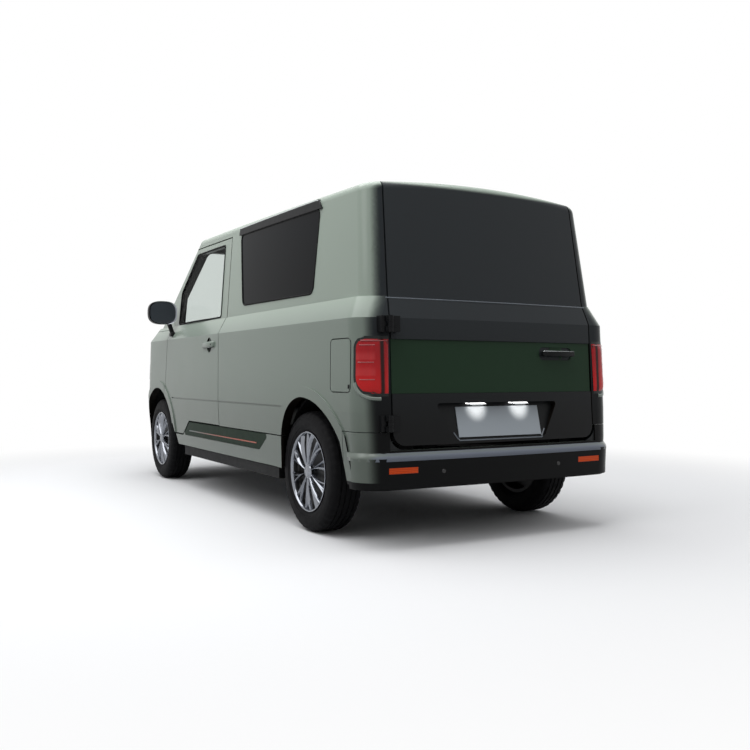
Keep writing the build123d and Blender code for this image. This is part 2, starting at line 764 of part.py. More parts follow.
# Cutting volumes, each reaching through the wall of the left side
DEEP = (ROOF_SEAM_X + 2, 900)
DOOR_CUT = side_prism(door_face(), *DEEP)
DOOR_CORE = side_prism(offset_face(door_face(), -SHUT_GAP), *DEEP)
BELOW_DOOR = side_prism(offset_face(sill_face(), PANEL_GAP), *DEEP)
LEFT = block((0, 1000), (-2000, 2000), (0, 2000))
REAR_CUT = rear_door_cut(0)
NOSE_CUT = block((-NOSE_SEAM_X, NOSE_SEAM_X), (-2000, BONNET_REAR_SEAM_Y + SHUT_GAP), (0, SHOULDER_Z + 5))
ROOF_CUT = block((-ROOF_SEAM_X, ROOF_SEAM_X), (-760, ROOF_REAR_SEAM_Y), (1560, 1800))
COWL_CUT = block((-COWL_X, COWL_X), (-2000, -1300), (SHOULDER_Z - 62, COWL_TOP_Z + 62))
FENDER_CUT = block((500, 900), (-2000, DOOR_FRONT_TOP_Y - 20), (200, SHOULDER_Z - 22))
BUMPER_CUT = block((-900, 900), (BUMPER_REAR_SEAM_Y, 2000), (0, BUMPER_TOP_Z))
BUMPER_CUT += block((-900, 900), (-2000, BUMPER_FRONT_SEAM_Y), (0, BUMPER_TOP_Z))


def tail_lamp_zone(growth):
    """Where the left tail lamp sits: behind a rounded side-view line."""
    side = polygon(
        [
            (1792 - growth, BAND_FOOT_Z - growth),
            (2000, BAND_FOOT_Z - growth),
            (2000, BAND_TOP_Z + growth),
            (1792 - growth, BAND_TOP_Z + growth),
        ],
        34,
    )
    return side_prism(side, 602 - growth, 900)


def head_lamp_zone(growth):
    """Where the left head lamp sits, round the nose corner."""
    front = polygon(
        [
            (402 - growth, LAMP_FOOT_Z - growth),
            (720, LAMP_FOOT_Z + 22 - growth),
            (720, LAMP_TOP_Z + growth),
            (402 - growth, LAMP_TOP_Z + growth),
        ],
        24,
    )
    return rear_prism(front, -2000, -1590 + growth)


def grille_zone(growth):
    """Dark band between the head lamps."""
    return block(
        (-392 - growth, 392 + growth),
        (-2000, -1600),
        (LAMP_FOOT_Z + 10 - growth, LAMP_TOP_Z - 10 + growth),
    )


def side_panel(right):
    """Pillars, roof rail and rear quarter of one side."""
    panel = SHELL & LEFT
    panel = panel - DOOR_CUT - BELOW_DOOR - REAR_CUT - NOSE_CUT - ROOF_CUT - BUMPER_CUT
    panel = panel - FENDER_CUT - tail_lamp_zone(SEAT_GAP) - windscreen_prism(0) - COWL_CUT
    panel = panel - block((0, 900), (-800, 1000), (0, SILL_TOP_Z + PANEL_GAP))
    if right:
        panel = panel - side_prism(slide_door_face(), *DEEP)
    else:
        panel = panel - side_prism(side_window_face(), *DEEP)
        pocket = side_prism(flap_face(), *DEEP) & (lower_body(-20) - lower_body(POCKET_DEPTH))
        panel = panel - pocket
    panel = keep_largest(panel)
    return flip(panel) if right else panel


def keep_largest(part):
    """The main solid of a cut, without trimmed-off scraps."""
    return part.solids().sort_by(lambda s: s.volume)[-1]


@functools.cache
def windscreen_prism(growth):
    """Windscreen opening seen from the front, following the pillars."""
    face = polygon([(-575, 1142), (575, 1142), (540, 1612), (-540, 1612)], 40)
    return rear_prism(offset_face(face, growth), -1700, -560)


def roof_panel():
    """Roof skin with the header above the windscreen."""
    return keep_largest((SHELL & offset_block(ROOF_CUT, PANEL_GAP)) - windscreen_prism(0))


def offset_block(part, inset):
    """A box moved in by inset on its sides, but not on top."""
    box = part.bounding_box()
    return block(
        (box.min.X + inset, box.max.X - inset),
        (box.min.Y + inset, box.max.Y - inset),
        (box.min.Z + inset, box.max.Z),
    )


def nose_panel():
    """Panel between the head lamps, bonnet and bumper, with the bonnet's two buffers."""
    zone = block(
        (-NOSE_SEAM_X + PANEL_GAP, NOSE_SEAM_X - PANEL_GAP),
        (-2000, BONNET_REAR_SEAM_Y),
        (BUMPER_TOP_Z + PANEL_GAP, BONNET_FRONT_SEAM_Z - SHUT_GAP),
    )
    panel = (SHELL & zone) - head_lamp_zone(SEAT_GAP) - flip(head_lamp_zone(SEAT_GAP))
    buffer = block(BUFFER_X, (NOSE_Y, -1600), (BONNET_FRONT_SEAM_Z - 30, BONNET_FRONT_SEAM_Z - SEAT_GAP))
    buffer = buffer & (lower_body(6) - lower_body(20))
    return keep_largest(panel - grille_zone(SEAT_GAP) + both(buffer))


def bonnet():
    """Bonnet lid."""
    zone = block(
        (-NOSE_SEAM_X + SHUT_GAP, NOSE_SEAM_X - SHUT_GAP),
        (-2000, BONNET_REAR_SEAM_Y),
        (BONNET_FRONT_SEAM_Z, SHOULDER_Z + 5),
    )
    return keep_largest((lower_body(0) - lower_body(24)) & zone)


@functools.cache
def fender():
    """Front wing from the door to the nose panel."""
    zone = block(
        (NOSE_SEAM_X + PANEL_GAP, 900),
        (-2000, DOOR_FRONT_TOP_Y + 40),
        (200, SHOULDER_Z - 22 - PANEL_GAP),
    )
    wing = (SHELL & zone) - DOOR_CUT - BUMPER_CUT - head_lamp_zone(SEAT_GAP)
    return keep_largest(wing)


@functools.cache
def sill():
    """Sill cover with the recess for its inlay."""
    cover = SHELL & LEFT & side_prism(offset_face(sill_face(), -PANEL_GAP), *DEEP)
    recess = side_prism(insert_face(), *DEEP) - lower_body(10)
    return keep_largest(cover - recess)


def sill_insert():
    """Dark inlay in the sill cover."""
    face = offset_face(insert_face(), -SEAT_GAP - PANEL_GAP)
    return (lower_body(1) - lower_body(10 - SEAT_GAP)) & side_prism(face, *DEEP)


def bumper(zone_y, foot_cut):
    """One bumper: the body form's foot, thickened outwards at its ledge."""
    zone = block((-900, 900), zone_y, (LOWER_ROWS[0][0] - 4, BUMPER_TOP_Z - PANEL_GAP))
    skin = SHELL & zone
    return keep_largest(skin - foot_cut)


def bumper_ledge(zone_y):
    """Ledge that stands proud low on a bumper."""
    return (lower_body(-LEDGE_PROUD) - lower_body(4)) & block((-900, 900), zone_y, LEDGE_LEVELS)


def rear_bumper():
    """Rear bumper, stepped down under the rear door, its two reflectors let into the ledge."""
    notch = block((-REAR_DOOR_HALF - 6, REAR_DOOR_HALF + 6), (1700, 2000), (REAR_DOOR_FOOT_Z - 8, 600))
    body = bumper((BUMPER_REAR_SEAM_Y + PANEL_GAP, 2000), notch) + bumper_ledge((1720, 2000))
    return body - both(reflector_bar(SEAT_GAP) - lower_body(REFLECTOR_DEPTH - LEDGE_PROUD))


def reflector_bar(growth):
    """Outline of the left rear reflector, drawn out rearwards."""
    width, tall = REFLECTOR_SIZE
    face = Pos(REFLECTOR_X, REFLECTOR_Z) * Rectangle(width + 2 * growth, tall + 2 * growth)
    return rear_prism(face, 1700, 2000)


def rear_reflector():
    """One reflector lying in its recess."""
    inner = lower_body(REFLECTOR_DEPTH - LEDGE_PROUD - SEAT_GAP)
    return reflector_bar(0) & (lower_body(1 - LEDGE_PROUD) - inner)


def front_bumper():
    """Front bumper with its lower intake and the towing eye's hole."""
    intake = block((-360, 360), (-2000, -1600), (RAIL_TOP_Z + 6, 430))
    lip = bumper_ledge((-2000, -1700)) - intake
    tow_hole = rod((TOW_X, -2000, TOW_Z), (TOW_X, -1600, TOW_Z), 24)
    return bumper((-2000, BUMPER_FRONT_SEAM_Y - PANEL_GAP), intake) + lip - tow_hole


@functools.cache
def front_door():
    """Left front door: panel and window frame in one."""
    door = (SHELL & LEFT & DOOR_CORE) - side_prism(window_face(), *DEEP)
    cup = Pos(740, -121, 948) * Rot(0, 90, 0) * Cylinder(46, 20)
    return keep_largest(door - cup)


def door_glass():
    """Front door pane."""
    return UPPER_GLASS & LEFT & side_prism(offset_face(window_face(), -SEAT_GAP), *DEEP)


def slide_door():
    """Right sliding door, shut, with its window opening."""
    core = side_prism(offset_face(slide_door_face(), -PANEL_GAP), *DEEP)
    door = (SHELL & LEFT & core) - side_prism(slide_window_face(), *DEEP)
    return flip(keep_largest(door))


def side_windows():
    """Dark fixed panes: rear side on the left, sliding door on the right."""
    skin = UPPER_GLASS & LEFT
    pane = skin & side_prism(offset_face(side_window_face(), -SEAT_GAP), *DEEP)
    slide = skin & side_prism(offset_face(slide_window_face(), -SEAT_GAP), *DEEP)
    return Compound(children=[*pane.solids(), *flip(slide).solids()])


def windscreen():
    """Windscreen pane."""
    return UPPER_GLASS & windscreen_prism(-SEAT_GAP)


def rear_door():
    """Side-hinged rear door with its stepped band and plate recess."""
    door = SHELL & rear_door_cut(-SHUT_GAP)
    band = block((-620, 620), (1700, 2000), (BAND_FOOT_Z, BAND_TOP_Z)) - lower_body(BAND_DEPTH * 2)
    recess = polygon([(-262, 472), (262, 472), (364, 636), (-346, 636)], 14)
    behind = Pos(0, PLATE_Y - PLATE_THICK / 2 - SEAT_GAP, PLATE_Z) * Rot(PLATE_LEAN, 0, 0)
    behind = behind * Box(1300, 300, 600, align=(Align.CENTER, Align.MIN, Align.CENTER))
    recess = rear_prism(recess, 1700, 2000) & behind
    return keep_largest(door - band - recess)


def rear_door_band():
    """Green band across the rear door."""
    zone = rear_door_cut(-SHUT_GAP) & block((-620, 620), (1700, 2000), (BAND_FOOT_Z + 1, BAND_TOP_Z - 1))
    band = (lower_body(BAND_DEPTH) - lower_body(BAND_DEPTH * 2 - SEAT_GAP)) & zone
    cup = rear_prism(Pos(-353, 865) * RectangleRounded(210, 62, 24), 1600, 2000)
    return band - cup


def rear_handle():
    """Bar handle of the rear door."""
    bar = rear_prism(Pos(-353, 865) * RectangleRounded(226, 26, 12), 1822, 1842)
    feet = rear_prism(Pos(-353, 865) * RectangleRounded(60, 18, 6), 1780, 1824)
    return bar + (feet - lower_body(BAND_DEPTH * 2 - SEAT_GAP))


def number_plate():
    """Blank number plate, its top leaning forward."""
    plane = Pos(0, PLATE_Y, PLATE_Z) * Rot(PLATE_LEAN, 0, 0)
    return plane * Box(PLATE_WIDTH, PLATE_THICK, PLATE_HEIGHT)


def hinge_leaves(door_side):
    """Exposed hinges of the rear door, one leaf on the door and one on the body."""
    x, y = REAR_DOOR_HINGE
    parts = []
    for z in HINGE_LEVELS:
        foot = z - HINGE_TALL / 2
        third = HINGE_TALL / 3
        if door_side:
            leaf = block((x - 52, x - 14), (y - 70, y - 6), (foot, foot + HINGE_TALL)) - lower_body(-SEAT_GAP)
            arm = block((x - 30, x), (y - 14, y), (foot + third + 1, foot + 2 * third - 1))
            barrel = rod((x, y, foot + third + 1), (x, y, foot + 2 * third - 1), HINGE_PIN_R + 5)
            pin = rod((x, y, foot - 2), (x, y, foot + HINGE_TALL + 2), HINGE_PIN_R)
            parts.append(leaf + arm + barrel + pin)
        else:
            leaf = block((x + 14, x + 40), (y - 70, y - 10), (foot, foot + HINGE_TALL)) - lower_body(-SEAT_GAP)
            whole = leaf
            for low in (foot, foot + 2 * third):
                arm = block((x, x + 20), (y - 16, y), (low, low + third))
                barrel = rod((x, y, low), (x, y, low + third), HINGE_PIN_R + 5)
                whole = whole + arm + barrel
            parts.append(whole - rod((x, y, foot - 5), (x, y, foot + HINGE_TALL + 5), HINGE_PIN_R + 0.3))
    return parts


def mirror_left():
    """Door mirror with its arm."""
    face = Plane.XZ.offset(940) * RectangleRounded(205, 165, 60)
    shell = Pos(797, 0, 1200) * extrude(face, 78)
    shell = chamfer(shell.faces().sort_by(Axis.Y)[0].edges(), 24)
    arm = polygon([(-1010, 1150), (-960, 1150), (-930, 1055), (-965, 1040)])
    arm = side_prism(arm, 712, 752)
    foot = block((690, 748), (-985, -925), (1035, 1068))
    return (shell + arm + foot) - lower_body(-SEAT_GAP) - upper_body(-SEAT_GAP)


def door_handle():
    """Pull handle of the front door, a bar standing off its cup."""
    bar = Pos(759, -121, 948) * Box(16, 284, 34)
    bar = fillet(bar.edges().filter_by(Axis.X), 14)
    foot_a = block((740, 755), (-250, -215), (938, 958))
    foot_b = block((740, 755), (-28, 8), (938, 958))
    return bar + ((foot_a + foot_b) - lower_body(-SEAT_GAP))


def window_rails():
    """Dark rail on the roof edge above the side windows."""
    proud = upper_body(-9) - upper_body(-SEAT_GAP)
    return proud & LEFT & side_prism(rail_face(), *DEEP)


def charge_flap():
    """Charge flap with the hinge pin on its front edge."""
    core = side_prism(offset_face(flap_face(), -FLAP_GAP), *DEEP)
    lid = (lower_body(0) - lower_body(FLAP_THICK)) & core
    along = FLAP_PIN[1] - FLAP_PIN_R - FLAP_FRONT_Y - FLAP_R
    rise = FLAP_R - math.sqrt(FLAP_R**2 - along**2) + SEAT_GAP
    pin = rod((*FLAP_PIN, FLAP_FOOT_Z + rise), (*FLAP_PIN, FLAP_TOP_Z - rise), FLAP_PIN_R)
    return lid + pin


def charge_socket():
    """Charging socket on the floor of the flap's pocket."""
    y = (FLAP_FRONT_Y + FLAP_REAR_Y) / 2
    z = (FLAP_FOOT_Z + FLAP_TOP_Z) / 2 + 30
    ring = rod((690, y, z), (716, y, z), 36) - rod((709, y, z), (730, y, z), 30)
    return ring - lower_body(POCKET_DEPTH - SEAT_GAP)


def save(name, part):
    """Write one piece."""
    export_step(part, f"parts/{name}.step")


def build_all():
    """Every piece by its name."""
    pieces = {
        "floor_pan": floor_pan(),
        "front_bulkhead": front_bulkhead(),
        "battery_pack": battery_pack(),
        "rear_axle": rear_axle(),
        "leaf_springs": leaf_springs(),
        "front_suspension": front_suspension(),
        "struts": struts(),
        "side_panel_left": side_panel(False),
        "side_panel_right": side_panel(True),
        "roof_panel": roof_panel(),
        "nose_panel": nose_panel(),
        "front_fender_left": fender(),
        "front_fender_right": flip(fender()),
        "front_bumper": front_bumper(),
        "rear_bumper": rear_bumper(),
        "rear_reflectors": both(rear_reflector()),
        "sill_left": sill(),
        "sill_right": flip(sill()),
        "sill_inserts": both(sill_insert()),
        "slide_door_right": slide_door(),
        "side_windows": side_windows(),
        "window_rails": both(window_rails()),
        "windscreen": windscreen(),
        "head_lamps": both(LAMP_SKIN & LEFT & head_lamp_zone(0)),
        "tail_lamps": both(LAMP_SKIN & LEFT & tail_lamp_zone(0)),
        "grille": LAMP_SKIN & grille_zone(0),
        "dashboard": dashboard(),
        "seats": both(seat(380)),
        "bonnet": bonnet(),
        "charge_flap": charge_flap(),
        "charge_socket": charge_socket(),
        "rear_door": rear_door(),
        "rear_door_band": rear_door_band(),
        "rear_door_handle": rear_handle(),
        "number_plate": number_plate(),
        "rear_door_hinges": Compound(children=hinge_leaves(True)),
        "rear_hinge_brackets": Compound(children=hinge_leaves(False)),
        "steering_wheel": steering_wheel(),
        "knuckle_left": knuckle_left(),
        "knuckle_right": flip(knuckle_left()),
    }
    for side, turn in (("left", lambda p: p), ("right", flip)):
        pieces[f"door_{side}"] = turn(front_door())
        pieces[f"door_glass_{side}"] = turn(door_glass())
        pieces[f"door_handle_{side}"] = turn(door_handle())
        pieces[f"mirror_{side}"] = turn(mirror_left())
    for end, y in (("front", FRONT_AXLE_Y), ("rear", REAR_AXLE_Y)):
        for side, sign in (("left", 1), ("right", -1)):
            pieces[f"tyre_{end}_{side}"] = tyre(sign * WHEEL_X, y)
            pieces[f"wheel_{end}_{side}"] = wheel(sign * WHEEL_X, y, sign)
    return pieces


os.makedirs("parts", exist_ok=True)
for piece_name, piece in build_all().items():
    save(piece_name, piece)
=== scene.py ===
"""Looks of a low electric microvan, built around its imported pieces. Metres, nose to -Y, +X is its left."""

import logging
import math
from dataclasses import dataclass
from enum import Enum
from typing import Sequence

import bmesh
import bpy
from mathutils import Matrix, Vector
from mathutils.bvhtree import BVHTree


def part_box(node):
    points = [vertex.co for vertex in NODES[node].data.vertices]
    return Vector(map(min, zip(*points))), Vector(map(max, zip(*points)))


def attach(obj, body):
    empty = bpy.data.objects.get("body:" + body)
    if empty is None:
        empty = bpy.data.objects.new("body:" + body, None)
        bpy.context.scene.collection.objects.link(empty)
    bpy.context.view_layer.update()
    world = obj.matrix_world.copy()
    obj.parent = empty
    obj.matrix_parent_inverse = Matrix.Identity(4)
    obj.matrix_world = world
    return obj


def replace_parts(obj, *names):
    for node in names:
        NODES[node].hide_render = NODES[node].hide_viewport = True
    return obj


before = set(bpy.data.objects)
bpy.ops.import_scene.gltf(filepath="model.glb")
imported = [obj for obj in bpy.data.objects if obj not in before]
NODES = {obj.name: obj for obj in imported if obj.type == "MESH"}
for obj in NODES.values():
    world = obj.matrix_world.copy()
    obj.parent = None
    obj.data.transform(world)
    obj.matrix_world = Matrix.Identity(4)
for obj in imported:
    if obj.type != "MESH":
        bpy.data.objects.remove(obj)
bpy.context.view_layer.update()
LOG = logging.getLogger("microvan")

# The camera of the photograph, in metres and degrees
CAMERA_PLACE = Vector((2.488, 4.979, 0.762))
CAMERA_LOOK = Vector((-0.4986, -0.8668, 0.0))
CAMERA_LENS = 40.85
SENSOR = 36.0
CAMERA_REACH = 200.0

VAN = "van_body"
WHITE = (1.0, 1.0, 1.0, 1.0)
BLACK = (0.0, 0.0, 0.0, 1.0)
SMOOTH = {"interpolation_type": "SMOOTHSTEP"}
ORIGIN = (0.0, 0.0, 0.0)

Point2 = tuple[float, float]
Colour = tuple[float, float, float, float]
Tree = bpy.types.NodeTree
Node = bpy.types.Node
Socket = bpy.types.NodeSocket
Shape = bmesh.types.BMesh
Thing = bpy.types.Object
Input = float | Sequence[float] | Node | Socket


class Side(Enum):
    """The vehicle's two sides, as the sign of x."""

    LEFT = 1
    RIGHT = -1

    @property
    def word(self) -> str:
        """The side's name as the nodes have it."""
        return self.name.lower()


def linear(colour: str, share: float = 1.0) -> Colour:
    """Turn an sRGB hex colour to linear light.

    Args:
        colour: Six hex digits with a leading #.
        share: What its light is multiplied by, up to white.

    Returns:
        Red, green, blue and an alpha of one.
    """
    values = [int(colour[i : i + 2], 16) / 255 for i in (1, 3, 5)]
    light = [v / 12.92 if v <= 0.04045 else ((v + 0.055) / 1.055) ** 2.4 for v in values]
    red, green, blue = (min(1.0, v * share) for v in light)
    return (red, green, blue, 1.0)


def add(tree: Tree, kind: str, links: dict | Sequence[Input] = (), **settings: object) -> Node:
    """Add one shader node with its settings and links.

    Args:
        tree: The node tree.
        kind: The node's type name without the leading ShaderNode.
        links: Inputs in order, or input names to them. A node stands for its first output.
        settings: The node's own properties.

    Returns:
        The new node.
    """
    node = tree.nodes.new("ShaderNode" + kind)
    for key, value in settings.items():
        setattr(node, key, value)
    for key, value in links.items() if isinstance(links, dict) else enumerate(links):
        if isinstance(value, bpy.types.Node):
            value = value.outputs[0]
        if isinstance(value, bpy.types.NodeSocket):
            tree.links.new(value, node.inputs[key])
        else:
            node.inputs[key].default_value = value
    return node


def scale_of(millimetres: float) -> float:
    """Pattern scale that repeats about once in a real size."""
    return 1000.0 / millimetres


@dataclass(frozen=True)
class Coating:
    """A finish of any kind, wired into a material of its own."""

    name: str

    def build(self) -> bpy.types.Material:
        """Make the material.

        Returns:
            The new material.
        """
        material = bpy.data.materials.new(self.name)
        material.use_nodes = True
        tree = material.node_tree
        tree.nodes.clear()
        place = add(tree, "TexCoord").outputs["Object"]
        add(tree, "OutputMaterial", [self.surface(tree, place)])
        return material

    def surface(self, tree: Tree, place: Socket) -> Node:
        """Wire the shader.

        Args:
            tree: The material's node tree.
            place: Object coordinates.

        Returns:
            The shader's node.
        """
        raise NotImplementedError


@dataclass(frozen=True)
class Finish(Coating):
    """A plain finish: colour with slight mottling, roughness and a moulded or sprayed grain."""

    colour: str
    roughness: float
    metallic: float = 0.0
    ior: float = 1.5
    specular: float = 0.5
    coat: float = 0.0
    coat_roughness: float = 0.06
    grain_mm: float = 1.2
    grain_depth_mm: float = 0.02
    grain_strength: float = 0.5
    mottle: float = 0.06
    mottle_mm: float = 60.0
    roughness_drift: float = 0.15
    emission: float = 0.0

    def layers(self, tree: Tree, place: Socket) -> tuple[Node, Input]:
        """Colour that drifts a little lighter and darker across the piece, and its clear coat.

        Args:
            tree: The node tree.
            place: Object coordinates.

        Returns:
            The colour and the coat's weight.
        """
        cloud = add(tree, "TexNoise", {"Vector": place, "Scale": scale_of(self.mottle_mm), "Detail": 4.0})
        dark, light = (linear(self.colour, 1 + drift) for drift in (-self.mottle, self.mottle))
        return add(tree, "MixRGB", [cloud, dark, light]), self.coat

    def surface(self, tree: Tree, place: Socket) -> Node:
        """Wire colour, roughness that drifts, and grain."""
        colour, coat = self.layers(tree, place)
        grain = add(tree, "TexNoise", {"Vector": place, "Scale": scale_of(self.grain_mm), "Detail": 3.0})
        patch = add(tree, "TexNoise", {"Vector": place, "Scale": scale_of(self.mottle_mm / 2), "Detail": 2.0})
        depth = self.grain_depth_mm / 1000
        low, high = (self.roughness * (1 + drift) for drift in (-self.roughness_drift, self.roughness_drift))
        shader = add(
            tree,
            "BsdfPrincipled",
            {
                "Base Color": colour,
                "Roughness": add(tree, "MapRange", {"Value": patch, "To Min": low, "To Max": high}),
                "Metallic": self.metallic,
                "IOR": self.ior,
                "Specular IOR Level": self.specular,
                "Coat Weight": coat,
                "Coat Roughness": self.coat_roughness,
                "Normal": add(
                    tree, "Bump", {"Height": grain, "Strength": self.grain_strength, "Distance": depth}
                ),
            },
        )
        if self.emission:
            shader.inputs["Emission Color"].default_value = linear(self.colour)
            shader.inputs["Emission Strength"].default_value = self.emission
        return shader


@dataclass(frozen=True)
class BodyPaint(Finish):
    """Sprayed sage body enamel: anthracite as painted shade on what faces rearwards, the lower flanks darkened
    as painted shade, the flanks lightened above the shoulder as a painted highlight, and dark trim inside.

    A turn is a part of the surface's direction, and a rise the heights between which a colour changes.
    """

    # Rear tones, darkest low down: painted shade; the shoulder's paint sets them light bluish grey as a painted
    # highlight
    rear_colour: str = "#2f3336"
    low_painted_light_colour: str = "#0d0e0f"
    inner_colour: str = "#15120f"
    # The flanks darken towards the sill as painted shade and lighten above the shoulder as a painted highlight
    sage_painted_shade: str = "#6a746c"
    sage_painted_highlight: str = "#95a297"
    all_painted_shade: bool = False
    dark_edges: bool = False
    dark_rise: Point2 = (0.45, 1.05)
    painted_shade_fall: Point2 = (0.85, 0.35)
    painted_highlight_rise: Point2 = (0.98, 1.12)
    rear_from_y: float = 1.5
    rear_turn: Point2 = (0.66, 0.95)
    valance_z: float = 0.297
    lip_rise: Point2 = (1.625, 1.645)
    lip_turn: Point2 = (0.12, 0.4)
    inner_turn: float = -0.35
    away_turn: float = -0.5
    ceiling_z: float = 0.95
    reveal_turn: float = 0.4
    reveal_z: float = 1.05
    arch_y: float = 1.255
    arch_shift: float = -0.02
    arch_z: float = 0.3
    arch_reach: float = 0.5
    arch_turn: float = 0.45

    def in_arch(self, tree: Tree, facing: Sequence[Socket], spot: Sequence[Socket]) -> Node:
        """Tell the lining of a wheel arch: close to an axle and facing it.

        Args:
            tree: The node tree.
            facing: The parts of the surface's direction.
            spot: The parts of its place.

        Returns:
            One on the lining, else zero.
        """
        end = add(tree, "Math", [spot[1]], operation="SIGN")
        middle = add(tree, "Math", [end, self.arch_y, self.arch_shift], operation="MULTIPLY_ADD")
        along = add(tree, "Math", [middle, spot[1]], operation="SUBTRACT")
        up = add(tree, "Math", [self.arch_z, spot[2]], operation="SUBTRACT")
        inward = add(tree, "CombineXYZ", {"Y": along, "Z": up})
        way = add(tree, "CombineXYZ", {"Y": facing[1], "Z": facing[2]})
        far = add(tree, "VectorMath", [inward], operation="LENGTH").outputs["Value"]
        toward = add(tree, "VectorMath", [inward, way], operation="DOT_PRODUCT").outputs["Value"]
        turn = add(tree, "Math", [toward, far], operation="DIVIDE")
        turned = add(tree, "Math", [turn, self.arch_turn], operation="GREATER_THAN")
        close = add(tree, "Math", [far, self.arch_reach], operation="LESS_THAN")
        return add(tree, "Math", [turned, close], operation="MULTIPLY")

    def zones(self, tree: Tree, place: Socket) -> tuple[Node, Node, Socket]:
        """Work out where the rear tones of painted shade and the inner trim are.

        Args:
            tree: The node tree.
            place: Object coordinates.

        Returns:
            The share of the rear tones (painted shade, and a painted highlight in the shoulder's paint), the
            share of inner trim, and the height.
        """
        facing = add(tree, "SeparateXYZ", [add(tree, "TexCoord").outputs["Normal"]]).outputs
        spot = add(tree, "SeparateXYZ", [place]).outputs
        outward = add(tree, "Math", [spot[0]], operation="SIGN")
        flank = add(tree, "Math", [facing[0], outward], operation="MULTIPLY")
        down = add(tree, "Math", [facing[2], self.away_turn], operation="LESS_THAN")
        above = add(tree, "Math", [spot[2], self.ceiling_z], operation="GREATER_THAN")
        forward = add(tree, "Math", [facing[1], self.away_turn], operation="LESS_THAN")
        behind = add(tree, "Math", [spot[1], self.rear_from_y], operation="GREATER_THAN")
        parts = [
            add(tree, "Math", [down, above], operation="MULTIPLY"),
            add(tree, "Math", [forward, behind], operation="MULTIPLY"),
            self.in_arch(tree, facing, spot),
        ]
        if self.dark_edges:
            turned = add(tree, "Math", [flank, self.reveal_turn], operation="LESS_THAN")
            high = add(tree, "Math", [spot[2], self.reveal_z], operation="GREATER_THAN")
            edge = add(tree, "Math", [turned, high], operation="MULTIPLY")
            ahead = add(tree, "Math", [1.0, behind], operation="SUBTRACT")
            parts.append(add(tree, "Math", [edge, ahead], operation="MULTIPLY"))
        trim = add(tree, "Math", [flank, self.inner_turn], operation="LESS_THAN")
        for part in parts:
            trim = add(tree, "Math", [trim, part], operation="MAXIMUM")
        # The whole piece takes the rear tones as painted shade, all but the top-facing lip
        if self.all_painted_shade:
            rise = add(tree, "MapRange", [spot[2], *self.lip_rise], **SMOOTH)
            turn = add(tree, "MapRange", [facing[2], *self.lip_turn], **SMOOTH)
            lip = add(tree, "Math", [rise, turn], operation="MULTIPLY")
            return add(tree, "Math", [1.0, lip], operation="SUBTRACT"), trim, spot[2]
        # What faces rearwards takes the rear tones as painted shade; so do the valances at both ends below
        # valance_z
        turn = add(tree, "MapRange", [facing[1], *self.rear_turn], **SMOOTH)
        rear = add(tree, "Math", [turn, behind], operation="MULTIPLY")
        distance = add(tree, "Math", [spot[1]], operation="ABSOLUTE")
        ends = add(tree, "Math", [distance, self.rear_from_y], operation="GREATER_THAN")
        under = add(tree, "Math", [spot[2], self.valance_z], operation="LESS_THAN")
        valance = add(tree, "Math", [under, ends], operation="MULTIPLY")
        return add(tree, "Math", [rear, valance], operation="MAXIMUM"), trim, spot[2]

    def layers(self, tree: Tree, place: Socket) -> tuple[Node, Input]:
        """Choose the paint, with its painted shade and painted highlight, by where the surface is and how it
        faces; only the sage is coated.
        """
        mottled, _ = super().layers(tree, place)
        rear, trim, height = self.zones(tree, place)
        rise = add(tree, "MapRange", [height, *self.dark_rise], **SMOOTH)
        dark = add(tree, "MixRGB", [rise, linear(self.low_painted_light_colour), linear(self.rear_colour)])
        # Darker towards the sill: painted shade. Lighter above the shoulder: painted highlight.
        fall = add(tree, "MapRange", [height, *self.painted_shade_fall], **SMOOTH)
        sage = add(tree, "MixRGB", [fall, mottled, linear(self.sage_painted_shade)])
        over = add(tree, "MapRange", [height, *self.painted_highlight_rise], **SMOOTH)
        sage = add(tree, "MixRGB", [over, sage, linear(self.sage_painted_highlight)])
        painted = add(tree, "MixRGB", [rear, sage, dark])
        bare = add(tree, "Math", [rear, trim], operation="MAXIMUM")
        share = add(tree, "Math", [1.0, bare], operation="SUBTRACT")
        coat = add(tree, "Math", [share, self.coat], operation="MULTIPLY")
        return add(tree, "MixRGB", [trim, painted, linear(self.inner_colour)]), coat


@dataclass(frozen=True)
class Pane(Coating):
    """Float glass: clear with a faint tint, or dark privacy glass; the tint darkens towards the bottom as
    painted shade.
    """

    tint: str
    see_through: float
    roughness: float = 0.02
    specular: float = 0.5
    ior: float = 1.5
    low_share: float = 0.55
    tint_rise: Point2 = (1.15, 1.6)
    wave_mm: float = 180.0

    def surface(self, tree: Tree, place: Socket) -> Node:
        """Wire a gloss with a slow wave over clear glass."""
        wave = add(tree, "TexNoise", {"Vector": place, "Scale": scale_of(self.wave_mm), "Detail": 1.0})
        # Darker below: painted shade
        height = add(tree, "SeparateXYZ", [place]).outputs[2]
        rise = add(tree, "MapRange", [height, *self.tint_rise], **SMOOTH)
        low = linear(self.tint, self.low_share)
        gloss = add(
            tree,
            "BsdfPrincipled",
            {
                "Base Color": add(tree, "MixRGB", [rise, low, linear(self.tint)]),
                "Roughness": self.roughness,
                "IOR": self.ior,
                "Specular IOR Level": self.specular,
                "Normal": add(tree, "Bump", {"Height": wave, "Strength": 0.1, "Distance": 0.0004}),
            },
        )
        clear = add(tree, "BsdfTransparent", {"Color": (0.93, 0.95, 0.94, 1.0)})
        return add(tree, "MixShader", [self.see_through, gloss, clear])


